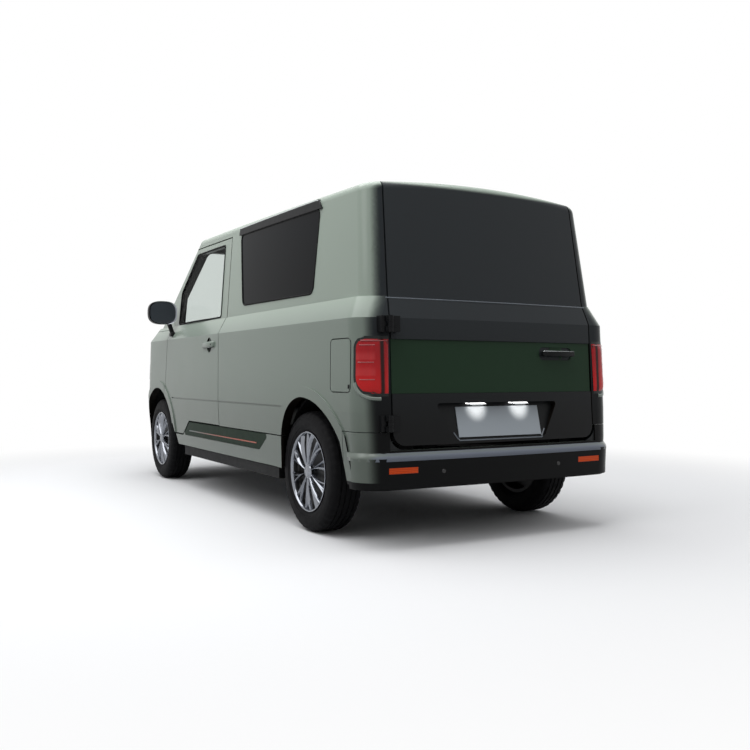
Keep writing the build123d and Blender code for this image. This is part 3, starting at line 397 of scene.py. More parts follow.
@dataclass(frozen=True)
class Lens(Coating):
    """Moulded acrylic reflector with fine horizontal optics; any glow it is given is painted light, as a
    reflector is no lamp.
    """

    deep: str
    bright: str
    pitch_mm: float
    painted_glow: float = 0.0
    cell_mm: float = 6.0

    def surface(self, tree: Tree, place: Socket) -> Node:
        """Wire rows of optics over small cells."""
        height = add(tree, "SeparateXYZ", [place]).outputs[2]
        pitch = self.pitch_mm / 1000
        row = add(tree, "Math", [height, pitch], operation="PINGPONG")
        share = add(tree, "Math", [row, pitch], operation="DIVIDE")
        optic = add(tree, "MapRange", [share, 0.15, 0.75], **SMOOTH)
        net = {"Vector": place, "Scale": scale_of(self.cell_mm)}
        cells = add(tree, "TexVoronoi", net, feature="DISTANCE_TO_EDGE")
        return add(
            tree,
            "BsdfPrincipled",
            {
                "Base Color": add(tree, "MixRGB", [optic, linear(self.deep), linear(self.bright)]),
                "Roughness": 0.2,
                "Specular IOR Level": 0.12,
                "Coat Weight": 0.1,
                "Coat Roughness": 0.04,
                "Normal": add(tree, "Bump", {"Height": cells, "Strength": 0.25, "Distance": 0.002}),
                "Emission Color": linear(self.bright),
                "Emission Strength": self.painted_glow,
            },
        )


@dataclass(frozen=True)
class TailLens(Coating):
    """Red acrylic tail lens: a deep inner strip, brighter chambers and fine optics behind the face."""

    name: str = "moulded_red_acrylic"
    bright: str = "#b4181a"
    middle: str = "#94131a"
    deep: str = "#260807"
    chamber: str = "#b33a3c"
    fall: Point2 = (0.88, 0.70)
    strip_x: Point2 = (0.622, 0.636)
    chambers: tuple[Point2, ...] = ((0.755, 0.806), (0.824, 0.872))
    chamber_x: Point2 = (0.655, 0.668)
    foot_fade: float = 0.008
    top_fade: float = 0.03
    cell_mm: float = 7.0

    def surface(self, tree: Tree, place: Socket) -> Node:
        """Wire the tones of the lens over small cells."""
        spot = add(tree, "SeparateXYZ", [place]).outputs
        wide = add(tree, "Math", [spot[0]], operation="ABSOLUTE")
        fall = add(tree, "MapRange", [spot[2], *self.fall], **SMOOTH)
        tone = add(tree, "MixRGB", [fall, linear(self.middle), linear(self.bright)])
        aside = add(tree, "MapRange", [wide, *self.chamber_x], **SMOOTH)
        for foot, top in self.chambers:
            above = add(tree, "MapRange", [spot[2], foot, foot + self.foot_fade], **SMOOTH)
            below = add(tree, "MapRange", [spot[2], top, top - self.top_fade], **SMOOTH)
            level = add(tree, "Math", [above, below], operation="MULTIPLY")
            inside = add(tree, "Math", [level, aside], operation="MULTIPLY")
            half = add(tree, "Math", [inside, 0.5], operation="MULTIPLY")
            tone = add(tree, "MixRGB", [half, tone, linear(self.chamber)])
        low, high = self.strip_x
        offset = add(tree, "Math", [wide, (low + high) / 2], operation="SUBTRACT")
        near = add(tree, "Math", [offset], operation="ABSOLUTE")
        outside = add(tree, "MapRange", [near, (high - low) / 3, high - low], **SMOOTH)
        strip = add(tree, "Math", [1.0, outside], operation="SUBTRACT")
        tone = add(tree, "MixRGB", [strip, tone, linear(self.deep)])
        net = {"Vector": place, "Scale": scale_of(self.cell_mm)}
        cells = add(tree, "TexVoronoi", net, feature="DISTANCE_TO_EDGE")
        return add(
            tree,
            "BsdfPrincipled",
            {
                "Base Color": tone,
                "Roughness": 0.15,
                "Specular IOR Level": 0.1,
                "Coat Weight": 0.15,
                "Normal": add(tree, "Bump", {"Height": cells, "Strength": 0.2, "Distance": 0.001}),
                "Emission Color": tone,
                "Emission Strength": 0.3,
            },
        )


@dataclass(frozen=True)
class SeatCloth(Coating):
    """Woven polyester seat cloth: two thread directions with a soft nap between them."""

    name: str = "woven_seat_cloth"
    warp: str = "#34373a"
    weft: str = "#484c50"
    thread_mm: float = 3.0  # the real thread is 0.6 mm, drawn coarser so that it shows
    nap_mm: float = 14.0
    waves_per_unit: float = 6.28

    def surface(self, tree: Tree, place: Socket) -> Node:
        """Wire the crossing threads and the nap."""
        scale = scale_of(self.thread_mm) / self.waves_per_unit
        links = {"Vector": place, "Scale": scale, "Distortion": 0.6}
        lay = [add(tree, "TexWave", links, bands_direction=way).outputs["Fac"] for way in ("X", "Y", "Z")]
        weft = add(tree, "Math", [lay[1], lay[2]], operation="MAXIMUM")
        cross = add(tree, "Math", [weft, lay[0]], operation="MULTIPLY")
        nap = add(tree, "TexNoise", {"Vector": place, "Scale": scale_of(self.nap_mm), "Detail": 5.0})
        height = add(tree, "Math", [cross, nap], operation="ADD")
        return add(
            tree,
            "BsdfPrincipled",
            {
                "Base Color": add(tree, "MixRGB", [cross, linear(self.warp), linear(self.weft)]),
                "Roughness": 0.92,
                "Sheen Weight": 0.35,
                "Sheen Roughness": 0.5,
                "Normal": add(tree, "Bump", {"Height": height, "Strength": 0.6, "Distance": 0.0008}),
            },
        )


@dataclass(frozen=True)
class PlateSheet(Coating):
    """Blank satin aluminium number plate, with painted pools of light at its top edge under its two lamps."""

    name: str = "plate_sheet_painted_light"
    colour: str = "#adb6be"
    painted_glow: str = "#eef2f4"
    lamp_x: float = 0.125
    lamp_z: float = 0.612
    painted_pool: Point2 = (0.012, 0.075)
    grain_mm: float = 3.0

    def surface(self, tree: Tree, place: Socket) -> Node:
        """Wire satin metal with two painted pools of light."""
        spot = add(tree, "SeparateXYZ", [place]).outputs
        # Two painted pools of light, in colour and in glow, centred under the lamps
        wide = add(tree, "Math", [spot[0]], operation="ABSOLUTE")
        across = add(tree, "Math", [wide, self.lamp_x], operation="SUBTRACT")
        up = add(tree, "Math", [spot[2], self.lamp_z], operation="SUBTRACT")
        offset = add(tree, "CombineXYZ", {"X": across, "Z": up})
        far = add(tree, "VectorMath", [offset], operation="LENGTH").outputs["Value"]
        unlit = add(tree, "MapRange", [far, *self.painted_pool], **SMOOTH)
        lit = add(tree, "Math", [1.0, unlit], operation="SUBTRACT")
        grain = add(tree, "TexNoise", {"Vector": place, "Scale": scale_of(self.grain_mm), "Detail": 2.0})
        return add(
            tree,
            "BsdfPrincipled",
            {
                "Base Color": add(tree, "MixRGB", [lit, linear(self.colour), linear(self.painted_glow)]),
                "Roughness": 0.38,
                "Normal": add(tree, "Bump", {"Height": grain, "Strength": 0.15, "Distance": 0.0003}),
                "Emission Color": add(tree, "MixRGB", [lit, BLACK, linear(self.painted_glow)]),
                "Emission Strength": 0.7,
            },
        )


@dataclass(frozen=True)
class RacingStripe(Coating):
    """Printed film stripe that fades from grey at its front to orange red at its rear."""

    name: str = "film_stripe"
    front: str = "#5c6460"
    rear: str = "#a8492c"
    fade_y: Point2 = (-0.5, 0.2)
    fleck_mm: float = 8.0

    def surface(self, tree: Tree, place: Socket) -> Node:
        """Wire the fade along the van."""
        along = add(tree, "SeparateXYZ", [place]).outputs[1]
        fade = add(tree, "MapRange", [along, *self.fade_y], **SMOOTH)
        fleck = add(tree, "TexNoise", {"Vector": place, "Scale": scale_of(self.fleck_mm), "Detail": 2.0})
        return add(
            tree,
            "BsdfPrincipled",
            {
                "Base Color": add(tree, "MixRGB", [fade, linear(self.front), linear(self.rear)]),
                "Roughness": 0.4,
                "Normal": add(tree, "Bump", {"Height": fleck, "Strength": 0.1, "Distance": 0.0002}),
            },
        )


def seen_by_eye(tree: Tree) -> Node:
    """One for camera, glossy and transmitted rays, else zero.

    Args:
        tree: The node tree.

    Returns:
        The share's node.
    """
    path = add(tree, "LightPath").outputs
    gloss = add(tree, "Math", [path["Is Glossy Ray"], path["Is Transmission Ray"]], operation="MAXIMUM")
    return add(tree, "Math", [path["Is Camera Ray"], gloss], operation="MAXIMUM")


@dataclass(frozen=True)
class StudioFloor(Coating):
    """Pale matt floor that fades to white away from the van, and is darker to bounced light."""

    name: str = "studio_floor"
    colour: str = "#dfe0e2"
    bounce: str = "#505152"
    fade: Point2 = (2.3, 4.6)

    def surface(self, tree: Tree, place: Socket) -> Node:
        """Wire the matt floor and the white beyond it."""
        far = add(tree, "VectorMath", [place], operation="LENGTH").outputs["Value"]
        share = add(tree, "MapRange", [far, *self.fade], **SMOOTH)
        path = add(tree, "LightPath").outputs
        fade = add(tree, "Math", [share, seen_by_eye(tree)], operation="MULTIPLY")
        tone = add(tree, "MixRGB", [path["Is Diffuse Ray"], linear(self.colour), linear(self.bounce)])
        matte = add(tree, "BsdfDiffuse", {"Color": tone})
        white = add(tree, "Emission", {"Color": WHITE, "Strength": 1.0})
        return add(tree, "MixShader", [fade, matte, white])


ENAMEL = dict(colour="#7f8b82", grain_mm=2.5, grain_depth_mm=0.006, mottle=0.015, mottle_mm=400)
SAGE = dict(ENAMEL, roughness=0.36, specular=0.08, coat=0.45, coat_roughness=0.14)
PRESSED = dict(grain_mm=2.5, grain_depth_mm=0.006)
MOULDED = dict(grain_mm=2.0, grain_depth_mm=0.01, mottle=0.04)
FINISHES: dict[str, Coating] = {
    # Sprayed enamel over steel: a satin sheen with a faint orange peel, with painted shade on the rear and the
    # lower flanks and a painted highlight above the shoulder
    "sage": BodyPaint("sage_enamel", **SAGE),
    "door_sage": BodyPaint("sage_door_enamel", dark_edges=True, **SAGE),
    # The same enamel, anthracite over the whole rear door as painted shade, with less sheen
    "rear_dark": BodyPaint(
        "anthracite_enamel", roughness=0.42, specular=0.14, coat=0.3, coat_roughness=0.2, all_painted_shade=True,
        **ENAMEL,
    ),
    # The corners of the door's opening in anthracite as painted shade
    "rear_paint": Finish("anthracite_corner_enamel", "#15181a", 0.42, specular=0.2, **PRESSED),
    # Rounded pressings in the same enamel, which take the light from above; the bumper's shoulder and the rear
    # door's edges are painted a light bluish grey as painted highlights
    # Its rear tones are a light bluish grey: a painted highlight where the shoulder faces rearwards
    "shoulder": BodyPaint(
        "shoulder_enamel", roughness=0.3, specular=0.3, coat=0.4, rear_colour="#777f8d", low_painted_light_colour="#777f8d",
        **ENAMEL,
    ),
    # Light bluish grey beads along the rear door's crease and the plate recess's foot: painted highlights
    "edge_highlight": Finish("pressed_crease_enamel", "#6a727b", 0.3, specular=0.4, coat=0.2, **PRESSED),
    "sage_lip": Finish("sage_pressed_lip", "#8b968e", 0.36, specular=0.1, coat=0.3, **PRESSED),
    # Moulded ABS panels: even colour with a soft shine
    "band": Finish("green_abs_panel", "#2b4130", 0.42, specular=0.09, **MOULDED),
    "insert": Finish("green_abs_inlay", "#1f2f23", 0.45, specular=0.2, ior=1.2, **MOULDED),
    "gloss": Finish(
        "gloss_black_abs", "#08090a", 0.16, specular=0.35, coat=0.2, grain_mm=4.0, grain_depth_mm=0.004,
        mottle=0.02,
    ),
    "satin": Finish("satin_black_abs", "#101113", 0.4, specular=0.12, coat_roughness=0.25, grain_mm=1.4),
    # The lamp surround's dark colour paints the shade of the lamp's recess
    "surround": Finish("lamp_surround_abs", "#161b1a", 0.4, specular=0.25, grain_mm=1.4),
    # Grained polypropylene and rubber: matt, nearly black
    "plastic": Finish(
        "grained_polypropylene", "#121314", 0.62, specular=0.25, grain_mm=1.1, grain_depth_mm=0.06,
    ),
    "rubber": Finish(
        "extruded_seal_rubber", "#060607", 0.7, specular=0.15, grain_mm=1.0, grain_depth_mm=0.03,
    ),
    "tyre": Finish(
        "tyre_rubber", "#0c0c0e", 0.7, specular=0.12, grain_mm=1.5, grain_depth_mm=0.15, mottle=0.12,
        mottle_mm=50,
    ),
    # Brushed-on chassis enamel and sand-cast alloy under the floor: coarse, uneven, hardly any shine
    "chassis": Finish(
        "black_chassis_enamel", "#0c0d0e", 0.6, specular=0.15, grain_mm=3.0, grain_depth_mm=0.12, mottle=0.2,
        mottle_mm=90,
    ),
    "casting": Finish(
        "sand_cast_aluminium", "#6d7073", 0.5, metallic=0.85, grain_mm=1.6, grain_depth_mm=0.2, mottle=0.15,
        mottle_mm=70,
    ),
    # Plated ABS: a dark mirror with sharp bright streaks
    "chrome": Finish(
        "plated_wheel_cover", "#85888e", 0.1, metallic=1.0, grain_mm=20.0, mottle=0.1, mottle_mm=40,
    ),
    # Bright trim, laid also as painted highlights along the rails' top edges and on the rear pull's top
    "bright": Finish(
        "bright_trim_strip", "#c6cacc", 0.2, metallic=0.9, grain_mm=9.0, grain_depth_mm=0.01, mottle=0.04
    ),
    "shade": Finish("dark_wheel_recess", "#0b0c0d", 0.4, specular=0.3, grain_mm=3.0, grain_depth_mm=0.03),
    # Grained soft trim, and silvered glass made a mostly diffuse light grey, which is in part a painted
    # reflection
    "interior": Finish(
        "grained_soft_trim", "#1d1a17", 0.75, specular=0.2, grain_mm=1.5, grain_depth_mm=0.12, mottle=0.1
    ),
    "mirror": Finish(
        "mirror_glass", "#4c5258", 0.1, metallic=0.35, grain_mm=40.0, grain_depth_mm=0.003,
        mottle=0.03,
    ),
    # Moulded lenses: prismatic orange that glows as painted light though it is no lamp, ribbed red, clear
    # polycarbonate, a lit diffuser
    "reflector": Lens("prismatic_orange", "#a03206", "#c4420c", 4.0, painted_glow=0.3),
    "red_lens": TailLens(),
    # Pale red ribs on the tail lens: painted highlights
    "rib_highlight": Finish(
        "bright_red_rib", "#b5585a", 0.15, specular=0.4, coat=0.4, grain_mm=6.0, grain_depth_mm=0.01,
    ),
    "clear_lens": Pane("clear_polycarbonate", "#c8d0d6", 0.62),
    "lit": Finish("lit_diffuser", "#ffffff", 0.4, emission=2.0, mottle=0.0),
    # Float glass: faintly tinted in front, near black on the sides; the tint darkens towards the bottom as
    # painted shade
    "glass": Pane("tinted_float_glass", "#1c2120", 0.93, specular=0.4),
    "privacy": Pane("privacy_glass", "#0e1115", 0.0, specular=0.3, ior=1.15),
    # Woven cloth with a dull nap, satin sheet metal, printed film
    "cloth": SeatCloth(),
    "plate": PlateSheet(),
    "stripe": RacingStripe(),
    "floor": StudioFloor(),
}

NODE_FINISH = {
    "sage": (
        "roof_panel nose_panel front_fender_left front_fender_right front_bumper sill_left sill_right bonnet "
        "charge_flap rear_bumper door_handle_left door_handle_right"
    ),
    "door_sage": "door_left door_right slide_door_right side_panel_left side_panel_right",
    "rear_dark": "rear_door",
    "band": "rear_door_band",
    "insert": "sill_inserts",
    "satin": "rear_door_handle rear_door_hinges rear_hinge_brackets window_rails",
    "gloss": "grille mirror_left mirror_right",
    "plastic": "charge_socket",
    "chassis": (
        "floor_pan rear_axle leaf_springs front_suspension struts knuckle_left knuckle_right front_bulkhead"
    ),
    "casting": "battery_pack",
    "interior": "dashboard steering_wheel",
    "glass": "windscreen door_glass_left door_glass_right",
    "privacy": "side_windows",
    "red_lens": "tail_lamps",
    "clear_lens": "head_lamps",
    "reflector": "rear_reflectors",
    "plate": "number_plate",
    "cloth": "seats",
    "tyre": "tyre_front_left tyre_front_right tyre_rear_left tyre_rear_right",
    "shade": "wheel_front_left wheel_front_right wheel_rear_left wheel_rear_right",
}
_made: dict[str, bpy.types.Material] = {}


def finish(key: str) -> bpy.types.Material:
    """The material of a finish, made once."""
    if key not in _made:
        _made[key] = FINISHES[key].build()
    return _made[key]


def dress_nodes() -> None:
    """Give each node that stays its finish."""
    for key, names in NODE_FINISH.items():
        for name in names.split():
            for slot in NODES[name].material_slots:
                slot.material = finish(key)


def put(name: str, data: bpy.types.ID) -> Thing:
    """Put a new object into the scene."""
    made = bpy.data.objects.new(name, data)
    bpy.context.scene.collection.objects.link(made)
    return made


def join(shape: Shape, part: Shape) -> None:
    """Move a part into a shape; the part is freed."""
    holder = bpy.data.meshes.new("part")
    part.to_mesh(holder)
    part.free()
    shape.from_mesh(holder)
    bpy.data.meshes.remove(holder)


def piece(
    shape: Shape,
    name: str,
    keys: Sequence[str],
    body: str,
    sharp_deg: float = 40.0,
    outward: bool = True,
) -> Thing:
    """Finish a modelled shape as a piece of the object.

    Args:
        shape: The mesh in the row frame, freed here.
        name: The piece's name.
        keys: Finishes, in the order of the faces' material numbers.
        body: The body that it rides on.
        sharp_deg: Edges sharper than this stay crisp.
        outward: Whether faces are turned to point outwards first.

    Returns:
        The new object.
    """
    bmesh.ops.remove_doubles(shape, verts=shape.verts, dist=1e-6)
    if outward:
        bmesh.ops.recalc_face_normals(shape, faces=shape.faces)
    for face in shape.faces:
        face.smooth = True
    for edge in shape.edges:
        edge.smooth = edge.calc_face_angle(0.0) < math.radians(sharp_deg)
    mesh = bpy.data.meshes.new(name)
    shape.to_mesh(mesh)
    shape.free()
    made = put(name, mesh)
    for key in keys:
        mesh.materials.append(finish(key))
    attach(made, body)
    return made


def spun(profile: Sequence[Point2], steps: int, shape: Shape | None = None) -> Shape:
    """Turn a profile of (along, radius) points once round the X axis.

    Args:
        profile: The points in order.
        steps: Steps in the turn.
        shape: A mesh to add it to.

    Returns:
        The mesh.
    """
    shape = shape or bmesh.new()
    verts = [shape.verts.new((x, 0.0, r)) for x, r in profile]
    edges = [shape.edges.new(pair) for pair in zip(verts, verts[1:])]
    bmesh.ops.spin(
        shape,
        geom=[*verts, *edges],
        cent=ORIGIN,
        axis=(1, 0, 0),
        angle=math.tau,
        steps=steps,
        use_merge=True,
    )
    return shape


def slab(
    shape: Shape, low: Sequence[float], high: Sequence[float], bevel: float, segments: int = 2
) -> list[bmesh.types.BMVert]:
    """Add a block between two corners with rounded edges.

    Args:
        shape: The mesh to add it to.
        low: Lowest corner.
        high: Highest corner.
        bevel: Width of the rounding.
        segments: Steps in the rounding.

    Returns:
        Its vertices.
    """
    size = [h - l for l, h in zip(low, high)]
    centre = [(l + h) / 2 for l, h in zip(low, high)]
    matrix = Matrix.Translation(centre) @ Matrix.Diagonal((*size, 1.0))
    before = set(shape.verts)
    new = bmesh.ops.create_cube(shape, size=1.0, matrix=matrix)["verts"]
    edges = list({e for v in new for e in v.link_edges})
    if bevel:
        bmesh.ops.bevel(
            shape,
            geom=edges,
            offset=bevel,
            segments=segments,
            profile=0.5,
            affect="EDGES",
            material=-1,
            clamp_overlap=True,
        )
    return [v for v in shape.verts if v not in before]


class Skin:
    """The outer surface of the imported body, felt by rays from outside."""

    def __init__(self, names: Sequence[str]) -> None:
        """Gather the nodes' meshes into one tree."""
        shape = bmesh.new()
        for name in names:
            shape.from_mesh(NODES[name].data)
        self.tree = BVHTree.FromBMesh(shape)
        shape.free()

    def at_side(self, y: float, z: float, side: Side = Side.LEFT, proud: float = 0.0) -> Vector:
        """Point of a flank at a place of the side view."""
        start = Vector((2.0 * side.value, y, z))
        hit = self.tree.ray_cast(start, Vector((-side.value, 0, 0)))[0]
        x = hit.x if hit else side.value * 0.7
        return Vector((x + proud * side.value, y, z))

    def beside(self, point: Point2, middle: Point2, side: Side, out: float, proud: float) -> Vector:
        """Point of a window's edge, with its depth felt a little outside of the opening."""
        here, centre = Vector(point), Vector(middle)
        felt = here + (here - centre).normalized() * out
        return Vector((self.at_side(felt.x, felt.y, side, proud).x, *point))

    def at_corner(self, turn: float, z: float, side: Side, proud: float) -> Vector:
        """Point of a rear corner, where turn is a direction in degrees from a place inside the body."""
        way = Vector((math.cos(math.radians(turn)) * side.value, math.sin(math.radians(turn)), 0.0))
        start = Vector((0.45 * side.value, 1.45, z)) + way
        hit = self.tree.ray_cast(start, -way)[0]
        return (hit or start - way * 0.6) + way * proud

    def at_end(self, x: float, z: float, way: int = 1, proud: float = 0.0) -> Vector:
        """Point of the rear (way 1) or the front (way -1) at a place of the rear view."""
        hit = self.tree.ray_cast(Vector((x, 3.0 * way, z)), Vector((0, -way, 0)))[0]
        y = hit.y if hit else 1.8 * way
        return Vector((x, y + proud * way, z))


def rounded(corners: Sequence[Point2], radius: float, step: float = 0.04) -> list[Point2]:
    """Resample a closed outline with rounded corners.

    Args:
        corners: Its corners in order.
        radius: Corner radius.
        step: Longest spacing on straight runs.

    Returns:
        The points of the closed line.
    """
    points: list[Point2] = []
    count = len(corners)
    for i, corner in enumerate(corners):
        here = Vector(corner)
        before = Vector(corners[i - 1]) - here
        after = Vector(corners[(i + 1) % count]) - here
        cut = min(radius, before.length / 2.1, after.length / 2.1)
        start = here + before.normalized() * cut
        end = here + after.normalized() * cut
        for k in range(6):
            t = k / 5
            bend = start * (1 - t) ** 2 + here * 2 * t * (1 - t) + end * t**2
            points.append((bend.x, bend.y))
    filled: list[Point2] = []
    for i, point in enumerate(points):
        nxt = Vector(points[(i + 1) % len(points)])
        here = Vector(point)
        parts = max(1, math.ceil((nxt - here).length / step))
        for k in range(parts):
            spot = here.lerp(nxt, k / parts)
            filled.append((spot.x, spot.y))
    return filled


def bead(
    name: str,
    points: Sequence[Vector],
    radius: float,
    closed: bool,
    key: str,
    body: str,
    flat: float = 1.0,
) -> Thing:
    """Lay a round or flattened moulding along points of a surface.

    Args:
        name: The piece's name.
        points: The line that it follows.
        radius: Half its width.
        closed: Whether the line closes on itself.
        key: Its finish.
        body: The body that it rides on.
        flat: How far it stands out, as a share of its width.

    Returns:
        The new object.
    """
    curve = bpy.data.curves.new(name, "CURVE")
    curve.dimensions = "3D"
    curve.bevel_depth = radius
    curve.bevel_resolution = 2
    curve.use_fill_caps = not closed
    line = curve.splines.new("POLY")
    line.points.add(len(points) - 1)
    for target, point in zip(line.points, points):
        target.co = (*point, 1.0)
    line.use_cyclic_u = closed
    holder = bpy.data.objects.new(name, curve)
    mesh = bpy.data.meshes.new_from_object(holder)
    bpy.data.objects.remove(holder)
    bpy.data.curves.remove(curve)
    shape = bmesh.new()
    shape.from_mesh(mesh)
    bpy.data.meshes.remove(mesh)
    if flat != 1.0:
        middle = sum(points, Vector()) / len(points)
        for vert in shape.verts:
            vert.co.x = middle.x + (vert.co.x - middle.x) * flat
    return piece(shape, name, [key], body)


@dataclass
class RoadWheel:
    """Tyre and plated multi-spoke cover of one wheel. Profiles are (outwards, radius)."""

    end: str
    side: Side
    tyre_r: float = 0.293
    tyre_half: float = 0.0825
    spokes: int = 10
    spoke_foot_r: float = 0.034
    spoke_end_r: float = 0.186
    blade_out: float = 0.0525
    blade_thick: float = 0.006
    tread_steps: int = 132
    cover_out: float = 0.019
    grooves: Point2 = (0.040, 0.014)
    groove_deep: float = 0.006
    groove_half: Point2 = (0.004, 0.003)
    shoulder_w: float = 0.034
    block_from_r: float = 0.270
    block_cut: float = 0.0045
    rib_cut: float = 0.004

    @property
    def body(self) -> str:
        """The body that the wheel rides on."""
        return f"{self.end}_{self.side.word}_wheel"

    def place(self, shape: Shape) -> None:
        """Move a wheel shape from its own axis to the hub."""
        low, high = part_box(f"tyre_{self.end}_{self.side.word}")
        centre = (low + high) / 2
        turn = Matrix.Diagonal((self.side.value, 1, 1, 1))
        hub = Matrix.Translation((centre.x, centre.y, self.tyre_r))
        bmesh.ops.transform(shape, matrix=hub @ turn, verts=shape.verts)

    def tread(self) -> Thing:
        """Build the tyre: moulded side walls, four grooves and cut shoulder blocks.

        Returns:
            The new piece.
        """
        half = self.tyre_half
        wide, narrow = self.groove_half
        side_wall = [
            (half - 0.028, 0.179), (half - 0.022, 0.188), (half - 0.012, 0.197), (half - 0.006, 0.206),
            (half - 0.0035, 0.212), (half - 0.0035, 0.219), (half - 0.0015, 0.2195), (half - 0.001, 0.236),
            (half - 0.001, 0.248), (half - 0.0045, 0.262), (half - 0.0035, 0.263), (half - 0.009, 0.277),
            (half - 0.014, 0.2835),
        ]
        crown = [(half - 0.022, 0.2885), (half - 0.032, 0.2905)]
        for centre in self.grooves:
            top = self.tyre_r - 0.0004 - (centre / half) ** 2 * 0.003
            floor = top - self.groove_deep
            crown += [(centre + wide, top), (centre + narrow, floor)]
            crown += [(centre - narrow, floor), (centre - wide, top)]
        right = side_wall + crown
        profile = right + [(-x, r) for x, r in reversed(right)]
        shape = spun(profile, self.tread_steps)
        bmesh.ops.remove_doubles(shape, verts=shape.verts, dist=1e-6)
        for vert in shape.verts:
            radius = math.hypot(vert.co.y, vert.co.z)
            angle = math.atan2(vert.co.y, vert.co.z) % math.tau
            index = round(angle / math.tau * self.tread_steps)
            outer = abs(vert.co.x) > half - self.shoulder_w
            inner = abs(vert.co.x) < half - self.shoulder_w
            block = radius > self.block_from_r and outer and index % 3 == 0
            rib = inner and radius > self.tyre_r - self.rib_cut and index % 6 == int(vert.co.x > 0) * 3
            if block or rib:
                keep = 1 - (self.block_cut if block else self.rib_cut) / radius
                vert.co.y *= keep
                vert.co.z *= keep
        self.place(shape)
        name = f"tread_{self.end}_{self.side.word}"
        made = piece(shape, name, ["tyre"], self.body, 35.0)
        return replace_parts(made, f"tyre_{self.end}_{self.side.word}")

    def blade(self, shape: Shape, lean: float, foot_w: float, end_w: float, rise: float) -> None:
        """Add one ridged spoke blade, spun to the full set.

        Args:
            shape: The mesh to add it to.
            lean: Turn from foot to end, in radians.
            foot_w: Half width at the hub.
            end_w: Half width at the rim.
            rise: Height of its ridge.
        """
        grid = bmesh.ops.create_grid(shape, x_segments=6, y_segments=4, size=0.5)["verts"]
        for vert in grid:
            t = vert.co.x + 0.5
            u = vert.co.y * 2
            radius = self.spoke_foot_r + (self.spoke_end_r - self.spoke_foot_r) * t
            width = foot_w + (end_w - foot_w) * t**0.8
            ridge = rise * max(0.0, 1 - abs(u) * 1.25)
            arch = 0.004 * math.sin(math.pi * t) - 0.007 * t**3
            out = self.cover_out + self.blade_out + arch + ridge - 0.009 * (abs(u) > 0.9)
            angle = lean * t**1.6
            across = u * width
            vert.co = (
                out,
                radius * math.sin(angle) + across * math.cos(angle),
                radius * math.cos(angle) - across * math.sin(angle),
            )
        faces = list({f for v in grid for f in v.link_faces})
        solid = bmesh.ops.solidify(shape, geom=faces, thickness=-self.blade_thick)["geom"]
        whole = {g for g in solid} | set(faces) | set(grid)
        faces = {g for g in whole if isinstance(g, bmesh.types.BMFace)}
        verts = {v for f in faces for v in f.verts}
        edges = {e for f in faces for e in f.edges}
        bmesh.ops.spin(
            shape,
            geom=[*verts, *edges, *faces],
            cent=ORIGIN,
            axis=(1, 0, 0),
            angle=math.tau * (self.spokes - 1) / self.spokes,
            steps=self.spokes - 1,
            use_duplicate=True,
        )

    def cover(self) -> Thing:
        """Build the cover: bright lip, paired blades, cap and the dark dish behind them.

        Returns:
            The new piece.
        """
        shape = bmesh.new()
        lip = [
            (0.030, 0.182), (0.046, 0.183), (0.054, 0.1855), (0.0585, 0.189), (0.0595, 0.192), (0.058, 0.1945),
            (0.052, 0.1945), (0.030, 0.1905),
        ]
        spun([(along + self.cover_out, radius) for along, radius in [*lip, lip[0]]], 96, shape)
        cap = [
            (0.030, 0.040), (0.054, 0.038), (0.058, 0.034), (0.0605, 0.028), (0.0585, 0.024), (0.061, 0.020),
            (0.062, 0.010), (0.062, 0.0),
        ]
        spun([(along + self.cover_out, radius) for along, radius in cap], 48, shape)
        self.blade(shape, 0.20, 0.0045, 0.0105, 0.006)
        self.blade(shape, -0.09, 0.003, 0.0065, 0.005)
        bright = set(shape.faces)
        dish = [(0.026, 0.0), (0.028, 0.06), (0.018, 0.12), (0.022, 0.170), (0.034, 0.184)]
        spun([(along + self.cover_out, radius) for along, radius in dish], 72, shape)
        barrel = [
            (0.053, 0.184), (0.072, 0.186), (0.050, 0.177), (-0.055, 0.177), (-0.062, 0.188), (-0.062, 0.170),
            (-0.040, 0.164), (0.005, 0.160), (0.008, 0.120), (0.006, 0.055), (-0.020, 0.052), (-0.022, 0.0265),
            (0.018, 0.0265),
        ]
        spun(barrel, 72, shape)
        for face in shape.faces:
            face.material_index = 0 if face in bright else 1
        self.place(shape)
        name = f"cover_{self.end}_{self.side.word}"
        made = piece(shape, name, ["chrome", "shade"], self.body, 28.0)
        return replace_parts(made, f"wheel_{self.end}_{self.side.word}")

    def build(self) -> list[Thing]:
        """Both pieces of the wheel."""
        return [self.tread(), self.cover()]


